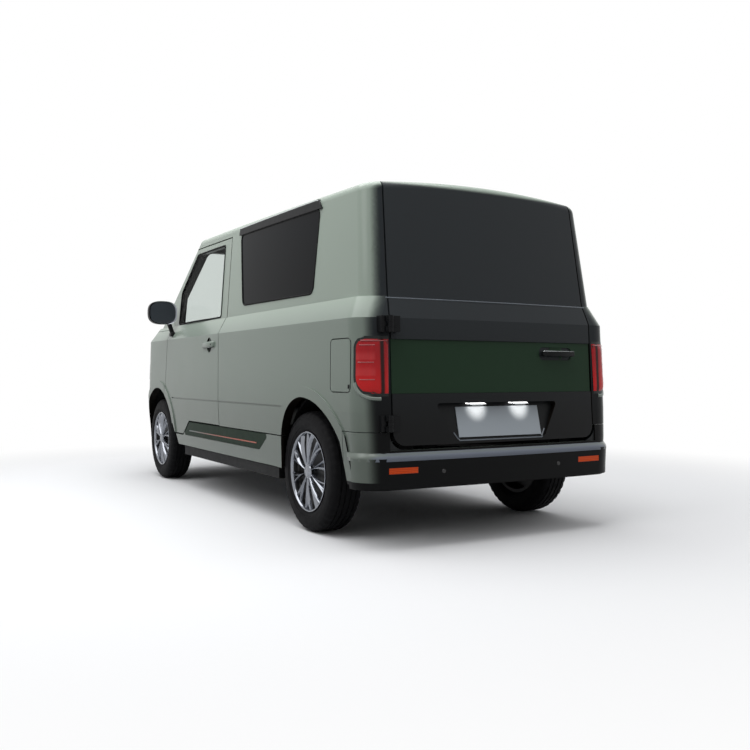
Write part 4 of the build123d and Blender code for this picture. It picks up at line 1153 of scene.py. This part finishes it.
@dataclass
class Glazing:
    """Rubber seals round the panes, and bright strips along the lines of the roof as painted highlights."""

    skin: Skin
    seal_r: float = 0.0055
    door: tuple[Point2, ...] = (
        (-0.062, 1.120), (-0.958, 1.120), (-0.958, 1.345), (-0.650, 1.580), (-0.068, 1.568),
    )
    pane: tuple[Point2, ...] = ((1.216, 1.160), (0.298, 1.168), (0.204, 1.590), (1.246, 1.572))
    slide: tuple[Point2, ...] = ((1.080, 1.160), (0.298, 1.168), (0.204, 1.575), (1.080, 1.560))
    screen: tuple[Point2, ...] = ((-0.575, 1.142), (0.575, 1.142), (0.540, 1.612), (-0.540, 1.612))
    screen_z: float = 1.377
    felt_out: float = 0.014
    rail_from: float = 0.196
    rail_to: float = 1.262
    rail_z: float = 1.627

    def around(self, name: str, corners: Sequence[Point2], side: Side, body: str, radius: float) -> Thing:
        """One closed seal on a flank.

        Args:
            name: The piece's name.
            corners: Its outline in the side view.
            side: Which flank.
            body: The body that it rides on.
            radius: Corner radius.

        Returns:
            The new piece.
        """
        middle = (sum(y for y, _ in corners) / len(corners), sum(z for _, z in corners) / len(corners))
        outline = rounded(corners, radius)
        points = [self.skin.beside(point, middle, side, self.felt_out, -0.001) for point in outline]
        return bead(name, points, self.seal_r, True, "rubber", body)

    def build(self) -> list[Thing]:
        """All seals.

        Returns:
            The new pieces.
        """
        made = []
        for side in Side:
            body = f"door_{side.word}"
            made.append(self.around(f"window_seal_{side.word}", self.door, side, body, 0.02))
        made.append(self.around("pane_seal_left", self.pane, Side.LEFT, VAN, 0.04))
        made.append(self.around("pane_seal_right", self.slide, Side.RIGHT, VAN, 0.04))
        points = []
        for x, z in rounded(self.screen, 0.06):
            out = 1 + self.felt_out / math.hypot(x, z - self.screen_z)
            felt = Vector((x * out, 0, self.screen_z + (z - self.screen_z) * out))
            points.append(self.skin.at_end(felt.x, felt.z, -1, 0.001))
        made.append(bead("screen_seal", points, 0.008, True, "rubber", VAN))
        # Bright strips along the rails' top edges are painted highlights
        rails = Skin(["window_rails"])
        for side in Side:
            line = [self.rail_from + (self.rail_to - self.rail_from) * i / 40 for i in range(41)]
            points = [point for point in (self.rail_top(rails, y, side) for y in line) if point]
            made.append(bead(f"rail_edge_{side.word}", points, 0.003, False, "bright", VAN))
        return made

    def rail_top(self, rails: Skin, y: float, side: Side) -> Vector | None:
        """Find the top edge of a rail.

        Args:
            rails: The surface of both rails.
            y: Place along the van.
            side: Which rail.

        Returns:
            A point just inside the edge, or None beyond the rail's ends.
        """
        for step in range(60):
            z = self.rail_z + 0.03 - step * 0.001
            start = Vector((2.0 * side.value, y, z))
            hit = rails.tree.ray_cast(start, Vector((-side.value, 0, 0)), 1.6)[0]
            if hit:
                return Vector((hit.x - 0.001 * side.value, y, z - 0.002))
        return None


@dataclass
class DoorFittings:
    """Mirror and pull handle of one front door."""

    skin: Skin
    side: Side
    mirror_low: Vector = Vector((0.697, -1.018, 1.118))
    mirror_high: Vector = Vector((0.897, -0.942, 1.281))
    handle_y: float = -0.128
    handle_z: float = 0.950
    handle_half: float = 0.105
    cup_r: float = 0.062

    @property
    def body(self) -> str:
        """The body that the fittings ride on."""
        return f"door_{self.side.word}"

    def flip(self, shape: Shape) -> None:
        """Mirror the shape when it is for the right."""
        if self.side is Side.RIGHT:
            bmesh.ops.scale(shape, vec=(-1, 1, 1), verts=shape.verts)

    def mirror(self) -> Thing:
        """Build the mirror: full housing, bright inner edge, glass to the rear and a raked arm.

        Returns:
            The new piece.
        """
        low, high = self.mirror_low, self.mirror_high
        centre, size = (low + high) / 2, high - low
        shape = bmesh.new()
        bmesh.ops.create_cube(shape, size=2.0)
        bmesh.ops.subdivide_edges(shape, edges=shape.edges, cuts=9, use_grid_fill=True)
        for vert in shape.verts:
            x, y, z = vert.co
            norm = (abs(x) ** 2.8 + abs(z) ** 2.8) ** (1 / 2.8) or 1.0
            span = max(abs(x), abs(z))
            ring = span / norm if span else 0.0
            bulge = 1 - 0.28 * (max(0.0, -y) ** 2)
            nose = y if y > -0.6 else -0.6 - (-0.6 - y) * (1 - 0.55 * span**2)
            vert.co = (x * ring * bulge, nose, z * ring * bulge)
        back = [f for f in shape.faces if f.calc_center_median().y > 0.99]
        inset = bmesh.ops.inset_region(shape, faces=back, thickness=0.09, depth=0.0)["faces"]
        for face in inset:
            face.material_index = 1
        # The glass's light grey finish is in part a painted reflection
        glass = [f for f in back if f.is_valid]
        for face in glass:
            face.material_index = 2
        moved = {v for f in glass for v in f.verts}
        bmesh.ops.translate(shape, verts=list(moved), vec=(0, -0.09, 0))
        matrix = Matrix.Translation(centre) @ Matrix.Diagonal((size.x / 2, size.y / 2, size.z / 2, 1.0))
        bmesh.ops.transform(shape, matrix=matrix, verts=shape.verts)
        arm = slab(shape, (0.712, -0.975, 1.045), (0.742, -0.945, 1.15), 0.008)
        for vert in arm:
            vert.co.x += max(0.0, vert.co.z - 1.06) * 0.35
            vert.co.y += (1.1 - vert.co.z) * 0.12
        slab(shape, (0.698, -0.985, 1.035), (0.744, -0.93, 1.064), 0.007)
        for face in shape.faces:
            if face.calc_center_median().z < 1.11:
                face.material_index = 3
        self.flip(shape)
        keys = ["satin", "chrome", "mirror", "satin"]
        made = piece(shape, f"mirror_shell_{self.side.word}", keys, self.body, 50.0)
        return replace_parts(made, f"mirror_{self.side.word}")

    def handle(self) -> Thing:
        """Build the pull handle over its dark cup, with the key barrel.

        Returns:
            The new piece.
        """
        y, z, half = self.handle_y, self.handle_z, self.handle_half
        face = self.skin.at_side(y, z + 0.08).x
        shape = bmesh.new()
        bar = slab(shape, (face + 0.008, y - half, z - 0.023), (face + 0.028, y + half, z + 0.023), 0.0095, 3)
        for vert in bar:
            ends = abs(vert.co.y - y) / half
            vert.co.x -= 0.007 * ends**4
            vert.co.z = z + (vert.co.z - z) * (1 - 0.25 * ends**4)
        for foot in (y - half * 0.85, y + half * 0.85):
            slab(shape, (face - 0.002, foot - 0.012, z - 0.011), (face + 0.012, foot + 0.012, z + 0.011), 0.003)
        paint = len(shape.faces)
        rim = self.cup_r
        dish = spun([(0.0015, rim), (0.003, rim - 0.004), (0.0005, rim - 0.012), (-0.001, 0.0)], 40)
        bmesh.ops.translate(dish, vec=(face, y, z), verts=dish.verts)
        join(shape, dish)
        cone = dict(cap_ends=True, segments=20, radius1=0.006, radius2=0.005, depth=0.004)
        barrel = bmesh.ops.create_cone(shape, **cone)["verts"]
        bmesh.ops.rotate(shape, cent=ORIGIN, matrix=Matrix.Rotation(math.pi / 2, 3, "Y"), verts=barrel)
        bmesh.ops.translate(shape, vec=(face + 0.0225, y + half * 0.72, z), verts=barrel)
        shape.faces.ensure_lookup_table()
        for face_ in list(shape.faces)[paint:]:
            face_.material_index = 1
        self.flip(shape)
        made = piece(shape, f"pull_{self.side.word}", ["sage", "plastic"], self.body, 50.0)
        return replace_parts(made, f"door_handle_{self.side.word}")

    def build(self) -> list[Thing]:
        """The mirror and the handle."""
        return [self.mirror(), self.handle()]


@dataclass
class RearFittings:
    """Plate lamps, handle and edges with painted highlights on the rear door; bumper shoulder with its painted
    highlight, opening corners in painted shade, and sensors.
    """

    skin: Skin
    plate_lamps: tuple[float, float] = (-0.125, 0.125)
    lamp_z: float = 0.626
    sensors: tuple[Point2, ...] = ((0.335, 0.335), (-0.335, 0.335))
    shoulder: tuple[Point2, ...] = (
        (0.0, 0.424), (0.08, 0.422), (0.45, 0.416), (0.8, 0.409), (0.97, 0.402), (1.0, 0.394), (1.0, 0.388),
    )
    above_z: float = 0.428
    below_z: float = 0.380
    sweep_from: float = 28.0
    tail_centre_y: float = 1.2
    opening_x: float = 0.600
    opening_z: float = 0.435
    gusset_r: float = 0.077
    gusset_felt_x: float = 0.640
    crease_z: float = 1.103
    crease_half: float = 0.585
    recess_foot: tuple[Point2, ...] = ((-0.268, 0.505), (-0.240, 0.466), (0.240, 0.466), (0.268, 0.505))

    def lamps(self) -> list[Thing]:
        """Plate lamps: raked covers over lit diffusers."""
        shape = bmesh.new()
        for x in self.plate_lamps:
            y = self.skin.at_end(x, self.lamp_z + 0.035).y - 0.030
            low = (x - 0.05, y - 0.006, self.lamp_z)
            cover = slab(shape, low, (x + 0.05, y + 0.026, self.lamp_z + 0.012), 0.003)
            for vert in cover:
                vert.co.x += (vert.co.z - self.lamp_z) * (1.6 if vert.co.x < x else 0.6)
            metal = len(shape.faces)
            slab(shape, (x - 0.032, y, self.lamp_z - 0.003), (x + 0.032, y + 0.02, self.lamp_z), 0.0)
            shape.faces.ensure_lookup_table()
            for face in list(shape.faces)[metal:]:
                face.material_index = 1
        return [piece(shape, "plate_lamps", ["bright", "lit"], "rear_door")]

    def handle(self) -> Thing:
        """Bar handle with tapered ends and a bright top edge that is a painted highlight, over a shallow cup.
        """
        low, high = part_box("rear_door_handle")
        x, z = (low.x + high.x) / 2 - 0.004, 0.866
        half = (high.x - low.x) / 2 - 0.012
        shape = bmesh.new()
        bar = slab(shape, (x - half, high.y - 0.020, z - 0.019), (x + half, high.y, z + 0.019), 0.008, 3)
        for vert in bar:
            ends = abs(vert.co.x - x) / half
            vert.co.y -= 0.007 * ends**4
            vert.co.z = z + (vert.co.z - z) * (1 - 0.35 * ends**3)
        for foot in (x - half * 0.8, x + half * 0.8):
            start = (foot - 0.012, low.y + 0.01, z - 0.008)
            slab(shape, start, (foot + 0.012, high.y - 0.01, z + 0.008), 0.003)
        shape.normal_update()
        # Top-facing faces take the bright trim: a painted highlight
        for face in shape.faces:
            if face.normal.z > 0.55 and face.calc_center_median().z > z + 0.008:
                face.material_index = 1
        made = piece(shape, "rear_pull", ["satin", "bright"], "rear_door", 50.0)
        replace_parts(made, "rear_door_handle")
        base = self.skin.at_end(x, z)
        cup = spun([(0.0, 0.046), (0.0015, 0.044), (0.0005, 0.038), (-0.001, 0.0)], 48)
        bmesh.ops.rotate(cup, cent=ORIGIN, matrix=Matrix.Rotation(math.pi / 2, 3, "Z"), verts=cup.verts)
        bmesh.ops.translate(cup, vec=base, verts=cup.verts)
        piece(cup, "rear_pull_cup", ["band"], "rear_door", 50.0)
        return made

    def ledge(self) -> Thing:
        """Rounded shoulder along the top of the bumper's ledge, which catches the light and is painted light
        bluish grey where it faces rearwards as a painted highlight.
        """
        shape = bmesh.new()
        last = len(self.shoulder) - 1
        grid = bmesh.ops.create_grid(shape, x_segments=48, y_segments=last, size=0.5)["verts"]
        for vert in grid:
            out, z = self.shoulder[round((vert.co.y + 0.5) * last)]
            turn = self.sweep_from + (180 - 2 * self.sweep_from) * (vert.co.x + 0.5)
            vert.co = self.around_tail(turn, z, out)
        return piece(shape, "bumper_shoulder_highlight", ["shoulder"], VAN, 60.0)

    def around_tail(self, turn: float, z: float, out: float) -> Vector:
        """Point round the tail of the bumper, felt above and below the ledge's step.

        Args:
            turn: Direction in degrees, 90 straight back.
            z: Height of the point.
            out: Share of the way from the upper face to the ledge's own face.

        Returns:
            The point.
        """
        way = Vector((math.cos(math.radians(turn)), math.sin(math.radians(turn)), 0.0))
        start = Vector((0.0, self.tail_centre_y, 0.0)) + way * 2.5
        spots = []
        for level in (self.above_z, self.below_z):
            hit = self.skin.tree.ray_cast(start + Vector((0, 0, level)), -way)[0]
            spots.append(hit or start - way)
        point = spots[0].lerp(spots[1], out)
        return Vector((point.x, point.y, z)) + way * 0.0016

    def gussets(self) -> Thing:
        """Corners of the door opening, which follow the door's round foot, in anthracite as painted shade."""
        shape = bmesh.new()
        for sign in (1, -1):
            outer = Vector((self.opening_x, self.opening_z))
            centre = Vector((self.opening_x - self.gusset_r, self.opening_z + self.gusset_r))
            arc = []
            for i in range(11):
                angle = math.radians(-90 + 9 * i)
                arc.append(centre + Vector((math.cos(angle), math.sin(angle))) * self.gusset_r)
            flat = [outer, *arc]
            felt = [self.skin.at_end(sign * self.gusset_felt_x, p.y, 1, -0.001) for p in flat]
            verts = [shape.verts.new(point) for point in felt]
            for vert, p in zip(verts, flat):
                vert.co.x = sign * p.x
            face = shape.faces.new(verts)
            grown = bmesh.ops.extrude_face_region(shape, geom=[face])["geom"]
            moved = [g for g in grown if isinstance(g, bmesh.types.BMVert)]
            bmesh.ops.translate(shape, vec=(0, -0.012, 0), verts=moved)
        return piece(shape, "opening_corners_painted_shade", ["rear_paint"], VAN, 30.0)

    def edges(self) -> list[Thing]:
        """Painted highlights of light bluish grey along pressed edges: the door's crease and the foot of the
        plate's recess.

        Returns:
            The new pieces.
        """
        half = self.crease_half
        edge_highlight = [self.skin.at_end(-half + half * i / 12, self.crease_z, 1, -0.0012) for i in range(25)]
        foot = []
        for (x0, z0), (x1, z1) in zip(self.recess_foot, self.recess_foot[1:]):
            for i in range(12):
                foot.append(self.skin.at_end(x0 + (x1 - x0) * i / 12, z0 + (z1 - z0) * i / 12, 1, -0.001))
        return [
            bead("door_crease", edge_highlight, 0.003, False, "edge_highlight", "rear_door"),
            bead("recess_lip_highlight", foot, 0.0035, False, "edge_highlight", "rear_door"),
        ]

    def dots(self) -> Thing:
        """Two parking sensors in the bumper."""
        shape = bmesh.new()
        cone = dict(cap_ends=True, segments=32, radius1=0.011, radius2=0.009, depth=0.003)
        for x, z in self.sensors:
            spot = self.skin.at_end(x, z, 1, 0.0)
            disc = bmesh.ops.create_cone(shape, **cone)["verts"]
            bmesh.ops.rotate(shape, cent=ORIGIN, matrix=Matrix.Rotation(-math.pi / 2, 3, "X"), verts=disc)
            bmesh.ops.translate(shape, vec=spot, verts=disc)
        return piece(shape, "parking_sensors", ["gloss"], VAN)

    def build(self) -> list[Thing]:
        """All rear fittings."""
        return [*self.lamps(), self.handle(), self.ledge(), self.gussets(), *self.edges(), self.dots()]


@dataclass
class TailLamp:
    """Tail lamp that wraps the corner: dark surround that paints the shade of its recess, red lens with ribs in
    pale red as painted highlights, and the body's lip below it.

    Each rib has its height, first and last direction, and radius. Directions are in degrees.
    """

    skin: Skin
    side: Side
    inner_turn: float = 67.6
    outer_turn: float = 47.0
    foot: float = 0.682
    top: float = 0.918
    columns: int = 26
    rows: int = 22
    foot_r: float = 0.075
    top_r: float = 0.040
    turning_r: float = 0.42
    rib_rows: tuple[tuple[float, float, float, float], ...] = (
        (0.911, 66.5, 50.2, 0.0032), (0.892, 59.0, 49.5, 0.0026), (0.817, 58.5, 48.6, 0.0026),
        (0.742, 59.0, 49.6, 0.0026),
    )
    lip_from: float = 46.6
    lip_sweep: float = 16.0
    lip_drop: float = 0.020
    lip_rise: float = 0.070

    def panel(self, shape: Shape, grow: float, proud: float, deep: float) -> None:
        """Build a thick sheet on the corner with a rounded outer edge.

        Args:
            shape: The mesh to add it to.
            grow: How far it reaches beyond the lens, in metres.
            proud: Height over the body.
            deep: Thickness inwards.
        """
        low, high = self.foot - grow, self.top + grow
        low_r, high_r = self.foot_r + grow, self.top_r + grow
        span = self.inner_turn - self.outer_turn
        grow_turn = math.degrees(grow / self.turning_r)
        grid = bmesh.ops.create_grid(shape, x_segments=self.columns, y_segments=self.rows, size=0.5)["verts"]
        for vert in grid:
            u, v = vert.co.x + 0.5, vert.co.y + 0.5
            z = low + (high - low) * v
            cut = 0.0
            if z < low + low_r:
                cut = low_r - math.sqrt(max(0.0, low_r**2 - (low + low_r - z) ** 2))
            elif z > high - high_r:
                cut = high_r - math.sqrt(max(0.0, high_r**2 - (z - high + high_r) ** 2))
            reach = span + grow_turn - math.degrees(cut / self.turning_r)
            rim = min(1.0, 9 * min(v, 1 - v, 1 - u, u + 0.05))
            height = proud * math.sqrt(max(0.15, rim))
            vert.co = self.skin.at_corner(self.inner_turn - reach * u, z, self.side, height)
        faces = list({f for v in grid for f in v.link_faces})
        bmesh.ops.recalc_face_normals(shape, faces=faces)
        middle = faces[len(faces) // 2]
        if middle.normal.dot(Vector((self.side.value, 1, 0))) < 0:
            bmesh.ops.reverse_faces(shape, faces=faces)
        bmesh.ops.solidify(shape, geom=faces, thickness=deep)

    def ribs(self) -> Thing:
        """Ribs across the lens, pale red as painted highlights.

        Returns:
            The new piece.
        """
        shape = bmesh.new()
        for z, first, last, radius in self.rib_rows:
            turns = [first + (last - first) * i / 10 for i in range(11)]
            points = [self.skin.at_corner(turn, z, self.side, 0.0035) for turn in turns]
            rod = bead("rib", points, radius, False, "red_lens", VAN)
            shape.from_mesh(rod.data)
            bpy.data.objects.remove(rod)
        return piece(shape, f"lamp_ribs_{self.side.word}", ["rib_highlight"], VAN)

    def build(self) -> list[Thing]:
        """Surround, lens, ribs and lip.

        Returns:
            The new pieces.
        """
        lens = bmesh.new()
        self.panel(lens, 0.0, 0.0045, 0.022)
        lens_piece = piece(lens, f"tail_lens_{self.side.word}", ["red_lens"], VAN, 50.0)
        # The surround's dark colour paints the shade of the lamp's recess
        ring = bmesh.new()
        self.panel(ring, 0.013, 0.0018, 0.010)
        ring_piece = piece(ring, f"lamp_surround_{self.side.word}", ["surround"], VAN, 50.0)
        points = []
        for i in range(15):
            share = i / 14
            turn = self.lip_from + self.lip_sweep * share**1.4
            z = self.foot - self.lip_drop + self.lip_rise * (1 - share) ** 2.6
            points.append(self.skin.at_corner(turn, z - 0.004, self.side, -0.0075))
        lip = bead(f"lamp_lip_{self.side.word}", points, 0.012, False, "sage_lip", VAN)
        return [lens_piece, ring_piece, self.ribs(), lip]


@dataclass
class SideTrim:
    """Film stripe in the sill inlays and the latch tab of the charge flap."""

    skin: Skin
    stripe_z: float = 0.392
    stripe_from: float = -0.55
    stripe_to: float = 0.63
    stripe_steps: int = 24
    stripe_flat: float = 0.25

    def build(self) -> list[Thing]:
        """The stripes and the tab."""
        made = []
        for side in Side:
            span = self.stripe_to - self.stripe_from
            line = [self.stripe_from + span * i / self.stripe_steps for i in range(self.stripe_steps + 1)]
            points = [self.skin.at_side(y, self.stripe_z, side) for y in line]
            name = f"sill_stripe_{side.word}"
            made.append(bead(name, points, 0.0035, False, "stripe", VAN, self.stripe_flat))
        shape = bmesh.new()
        spot = self.skin.at_side(1.700, 0.712)
        slab(shape, (spot.x - 0.003, 1.690, 0.702), (spot.x + 0.003, 1.704, 0.720), 0.002)
        made.append(piece(shape, "flap_tab", ["satin"], "charge_flap"))
        return made


@dataclass
class NoseFittings:
    """Grille bars and lamp bowls."""

    skin: Skin
    bar_levels: tuple[float, ...] = (0.735, 0.760, 0.785, 0.810)
    bar_half: float = 0.372
    bar_step: float = 0.031
    bar_parts: int = 24
    lamp_x: float = 0.52
    lamp_z: float = 0.775

    def grille(self) -> Thing:
        """Thin bars across the grille."""
        shape = bmesh.new()
        for z in self.bar_levels:
            for i in range(self.bar_parts):
                x = -self.bar_half + i * self.bar_step
                spot = self.skin.at_end(x + self.bar_step / 2, z, -1, 0.0)
                slab(shape, (x, spot.y - 0.003, z - 0.003), (x + self.bar_step, spot.y + 0.004, z + 0.003), 0.0)
        return piece(shape, "grille_bars", ["satin"], VAN)

    def bowls(self) -> list[Thing]:
        """Lamp bowls behind the lenses."""
        made = []
        for side in Side:
            shape = bmesh.new()
            for offset, radius in ((-0.055, 0.042), (0.045, 0.036)):
                x = (self.lamp_x + offset) * side.value
                y = self.skin.at_end(x, self.lamp_z, -1, 0.0).y + 0.005
                rim = [(0.0, radius), (0.003, radius)]
                ring = spun([*rim, (0.006, radius * 0.85), (0.004, radius * 0.4), (0.006, 0.0)], 40)
                turn = Matrix.Rotation(-math.pi / 2, 3, "Z")
                bmesh.ops.rotate(ring, cent=ORIGIN, matrix=turn, verts=ring.verts)
                bmesh.ops.translate(ring, vec=(x, y, self.lamp_z), verts=ring.verts)
                join(shape, ring)
            made.append(piece(shape, f"lamp_bowls_{side.word}", ["chrome"], VAN))
        return made

    def build(self) -> list[Thing]:
        """All nose fittings."""
        return [self.grille(), *self.bowls()]


@dataclass
class Seat:
    """Cloth seats: squab, back and head rest of one, each swollen by a short cloth run, and their twins.

    Each pad has its name, half width, lowest and highest (y, z), backward lean and crown.
    """

    side: Side
    middle_x: float = 0.38
    voxel: float = 0.006
    swell: float = 0.012
    pads: tuple[tuple[str, float, Point2, Point2, float, float], ...] = (
        ("squab_left", 0.215, (-0.645, 0.705), (-0.195, 0.782), 0.0, 0.008),
        ("backrest_left", 0.205, (-0.235, 0.80), (-0.155, 1.235), 0.20, 0.012),
        ("head_rest_left", 0.11, (-0.095, 1.292), (-0.045, 1.395), 0.1, 0.006),
    )

    def inflate(self, made: Thing, pressure: float = 4.0, frames: int = 20) -> None:
        """Swell a cushion with cloth and cap how far each point moves.

        Args:
            made: The cushion, changed in place.
            pressure: Air pressure in the cloth.
            frames: Steps of the run.
        """
        remesh = made.modifiers.new("remesh", "REMESH")
        remesh.mode = "VOXEL"
        remesh.voxel_size = self.voxel
        bpy.context.view_layer.objects.active = made
        self.apply(made, remesh)
        start = [v.co.copy() for v in made.data.vertices]
        cloth = made.modifiers.new("cloth", "CLOTH")
        cloth.settings.use_pressure = True
        cloth.settings.uniform_pressure_force = pressure
        cloth.settings.effector_weights.gravity = 0.0
        cloth.point_cache.frame_end = frames
        for number in range(1, frames + 1):
            bpy.context.scene.frame_set(number)
        self.apply(made, cloth)
        for vert, rest in zip(made.data.vertices, start):
            step = vert.co - rest
            if step.length > self.swell:
                vert.co = rest + step.normalized() * self.swell
        bpy.context.scene.frame_set(1)

    @staticmethod
    def apply(made: Thing, modifier: bpy.types.Modifier) -> None:
        """Make a modifier's result the piece's own mesh."""
        bpy.context.view_layer.update()
        graph = bpy.context.evaluated_depsgraph_get()
        mesh = bpy.data.meshes.new_from_object(made.evaluated_get(graph), depsgraph=graph)
        made.modifiers.remove(modifier)
        old = made.data
        made.data = mesh
        bpy.data.meshes.remove(old)

    def cushion(self, name: str, low: Vector, high: Vector, lean: float, crown: float) -> Thing:
        """Build one cushion between two corners.

        Args:
            name: The piece's name.
            low: Lowest corner before leaning.
            high: Highest corner before leaning.
            lean: Backward lean in radians, round its low front edge.
            crown: How much its middle stands proud.

        Returns:
            The new piece.
        """
        shape = bmesh.new()
        slab(shape, low, high, 0.03, 4)
        long = [e for e in shape.edges if e.calc_length() > 0.1]
        bmesh.ops.subdivide_edges(shape, edges=long, cuts=6, use_grid_fill=True)
        centre, size = (low + high) / 2, (high - low) / 2
        for vert in shape.verts:
            a = (vert.co.x - centre.x) / size.x
            b = (vert.co.z - centre.z) / size.z if size.z > size.y else (vert.co.y - centre.y) / size.y
            lift = crown * max(0.0, 1 - a * a) * max(0.0, 1 - b * b)
            if size.z > size.y:
                vert.co.y -= lift * (vert.co.y < centre.y)
            else:
                vert.co.z += lift * (vert.co.z > centre.z)
        turn = Matrix.Rotation(-lean, 3, "X")
        bmesh.ops.rotate(shape, cent=(centre.x, high.y, low.z), matrix=turn, verts=shape.verts)
        made = piece(shape, name, ["cloth"], VAN, 180.0)
        self.inflate(made)
        made.data.materials.clear()
        made.data.materials.append(finish("cloth"))
        return self.finish_pad(made)

    def twin(self, made: Thing, name: str) -> Thing:
        """Mirror a finished cushion to the other seat.

        Args:
            made: The cushion.
            name: The mirrored piece's name.

        Returns:
            The new piece.
        """
        shape = bmesh.new()
        shape.from_mesh(made.data)
        bmesh.ops.scale(shape, vec=(-1, 1, 1), verts=shape.verts)
        bmesh.ops.reverse_faces(shape, faces=shape.faces)
        other = piece(shape, name, ["cloth"], VAN, 180.0)
        return self.finish_pad(other)

    @staticmethod
    def finish_pad(made: Thing) -> Thing:
        for polygon in made.data.polygons:
            polygon.use_smooth = True
        levels = made.modifiers.new("subdivision", "SUBSURF")
        levels.levels = levels.render_levels = 1
        return made

    def build(self) -> list[Thing]:
        """Both seats: this one's three cushions and their mirrored twins."""
        x = self.middle_x * self.side.value
        made = [
            self.cushion(name, Vector((x - half, *low)), Vector((x + half, *high)), lean, crown)
            for name, half, low, high, lean, crown in self.pads
        ]
        twins = [self.twin(pad, pad.name.replace("left", "right")) for pad in made]
        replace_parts(made[0], "seats")
        return [*made, *twins]


@dataclass
class Studio:
    """Pale floor, soft lamps and the photograph's camera."""

    floor_half: float = 40.0
    light: Point2 = (0.1, 0.8)
    light_rise: Point2 = (-0.2, 0.9)

    def floor(self) -> None:
        """Pale floor that takes the shadow and fades to white."""
        shape = bmesh.new()
        bmesh.ops.create_grid(shape, x_segments=4, y_segments=4, size=self.floor_half)
        mesh = bpy.data.meshes.new("floor")
        shape.to_mesh(mesh)
        shape.free()
        ground = put("floor", mesh)
        mesh.materials.append(finish("floor"))

    def world(self) -> None:
        """White to the eye, in gloss and through glass; a plain grey light for the rest."""
        world = bpy.data.worlds.new("studio")
        bpy.context.scene.world = world
        world.use_nodes = True
        tree = world.node_tree
        tree.nodes.clear()
        up = add(tree, "SeparateXYZ", [add(tree, "TexCoord").outputs["Generated"]]).outputs[2]
        rise = add(tree, "MapRange", [up, *self.light_rise], **SMOOTH)
        low, high = self.light
        plain = add(tree, "Math", [rise, high - low, low], operation="MULTIPLY_ADD")
        level = add(tree, "Math", [plain, seen_by_eye(tree)], operation="MAXIMUM")
        back = add(tree, "Background", {"Color": WHITE, "Strength": level})
        add(tree, "OutputWorld", [back])

    def lamp(self, name: str, place: Vector, target: Vector, size: float, power: float) -> None:
        """Hang one soft square lamp.

        Args:
            name: Its name.
            place: Where it hangs.
            target: What it points at.
            size: Its width.
            power: Its power in watts.
        """
        data = bpy.data.lights.new(name, "AREA")
        data.size = size
        data.energy = power
        lamp = put(name, data)
        lamp.location = place
        lamp.rotation_euler = (target - place).to_track_quat("-Z", "Y").to_euler()

    def camera(self) -> None:
        """Set the photograph's camera."""
        data = bpy.data.cameras.new("camera")
        data.lens = CAMERA_LENS
        data.sensor_width = SENSOR
        data.clip_end = CAMERA_REACH
        camera = put("camera", data)
        camera.location = CAMERA_PLACE
        camera.rotation_euler = CAMERA_LOOK.to_track_quat("-Z", "Y").to_euler()
        bpy.context.scene.camera = camera

    def build(self) -> None:
        """Floor, world, lamps and camera."""
        self.floor()
        self.world()
        self.lamp("overhead", Vector((0.8, 0.3, 4.6)), Vector((0, 0, 0.8)), 5.0, 225.0)
        self.lamp("left_fill", Vector((5.0, 1.0, 4.2)), Vector((0, 0, 1.2)), 3.0, 55.0)
        self.camera()


def main() -> None:
    """Build every piece and report it."""
    logging.basicConfig(level=logging.INFO)
    scene = bpy.context.scene
    scene.view_settings.view_transform = "Standard"
    dress_nodes()
    Studio().build()
    outer = Skin([
        "side_panel_left", "side_panel_right", "door_left", "door_right", "door_glass_left",
        "door_glass_right", "side_windows", "slide_door_right", "rear_door", "rear_door_band",
        "rear_bumper", "tail_lamps", "sill_left",
        "sill_right", "sill_inserts", "windscreen", "roof_panel", "nose_panel", "front_bumper", "grille",
        "head_lamps", "bonnet", "charge_flap", "front_fender_left", "front_fender_right",
    ])
    groups: list[object] = [RoadWheel(end, side) for end in ("front", "rear") for side in Side]
    groups += [Glazing(outer), RearFittings(outer), SideTrim(outer), NoseFittings(outer)]
    groups += [DoorFittings(outer, side) for side in Side]
    groups += [TailLamp(outer, side) for side in Side]
    groups += [Seat(Side.LEFT)]
    for group in groups:
        for made in group.build():
            LOG.info("built %s", made.name)
    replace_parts(bpy.data.objects["tail_lens_left"], "tail_lamps")


if __name__ == "__main__":
    main()
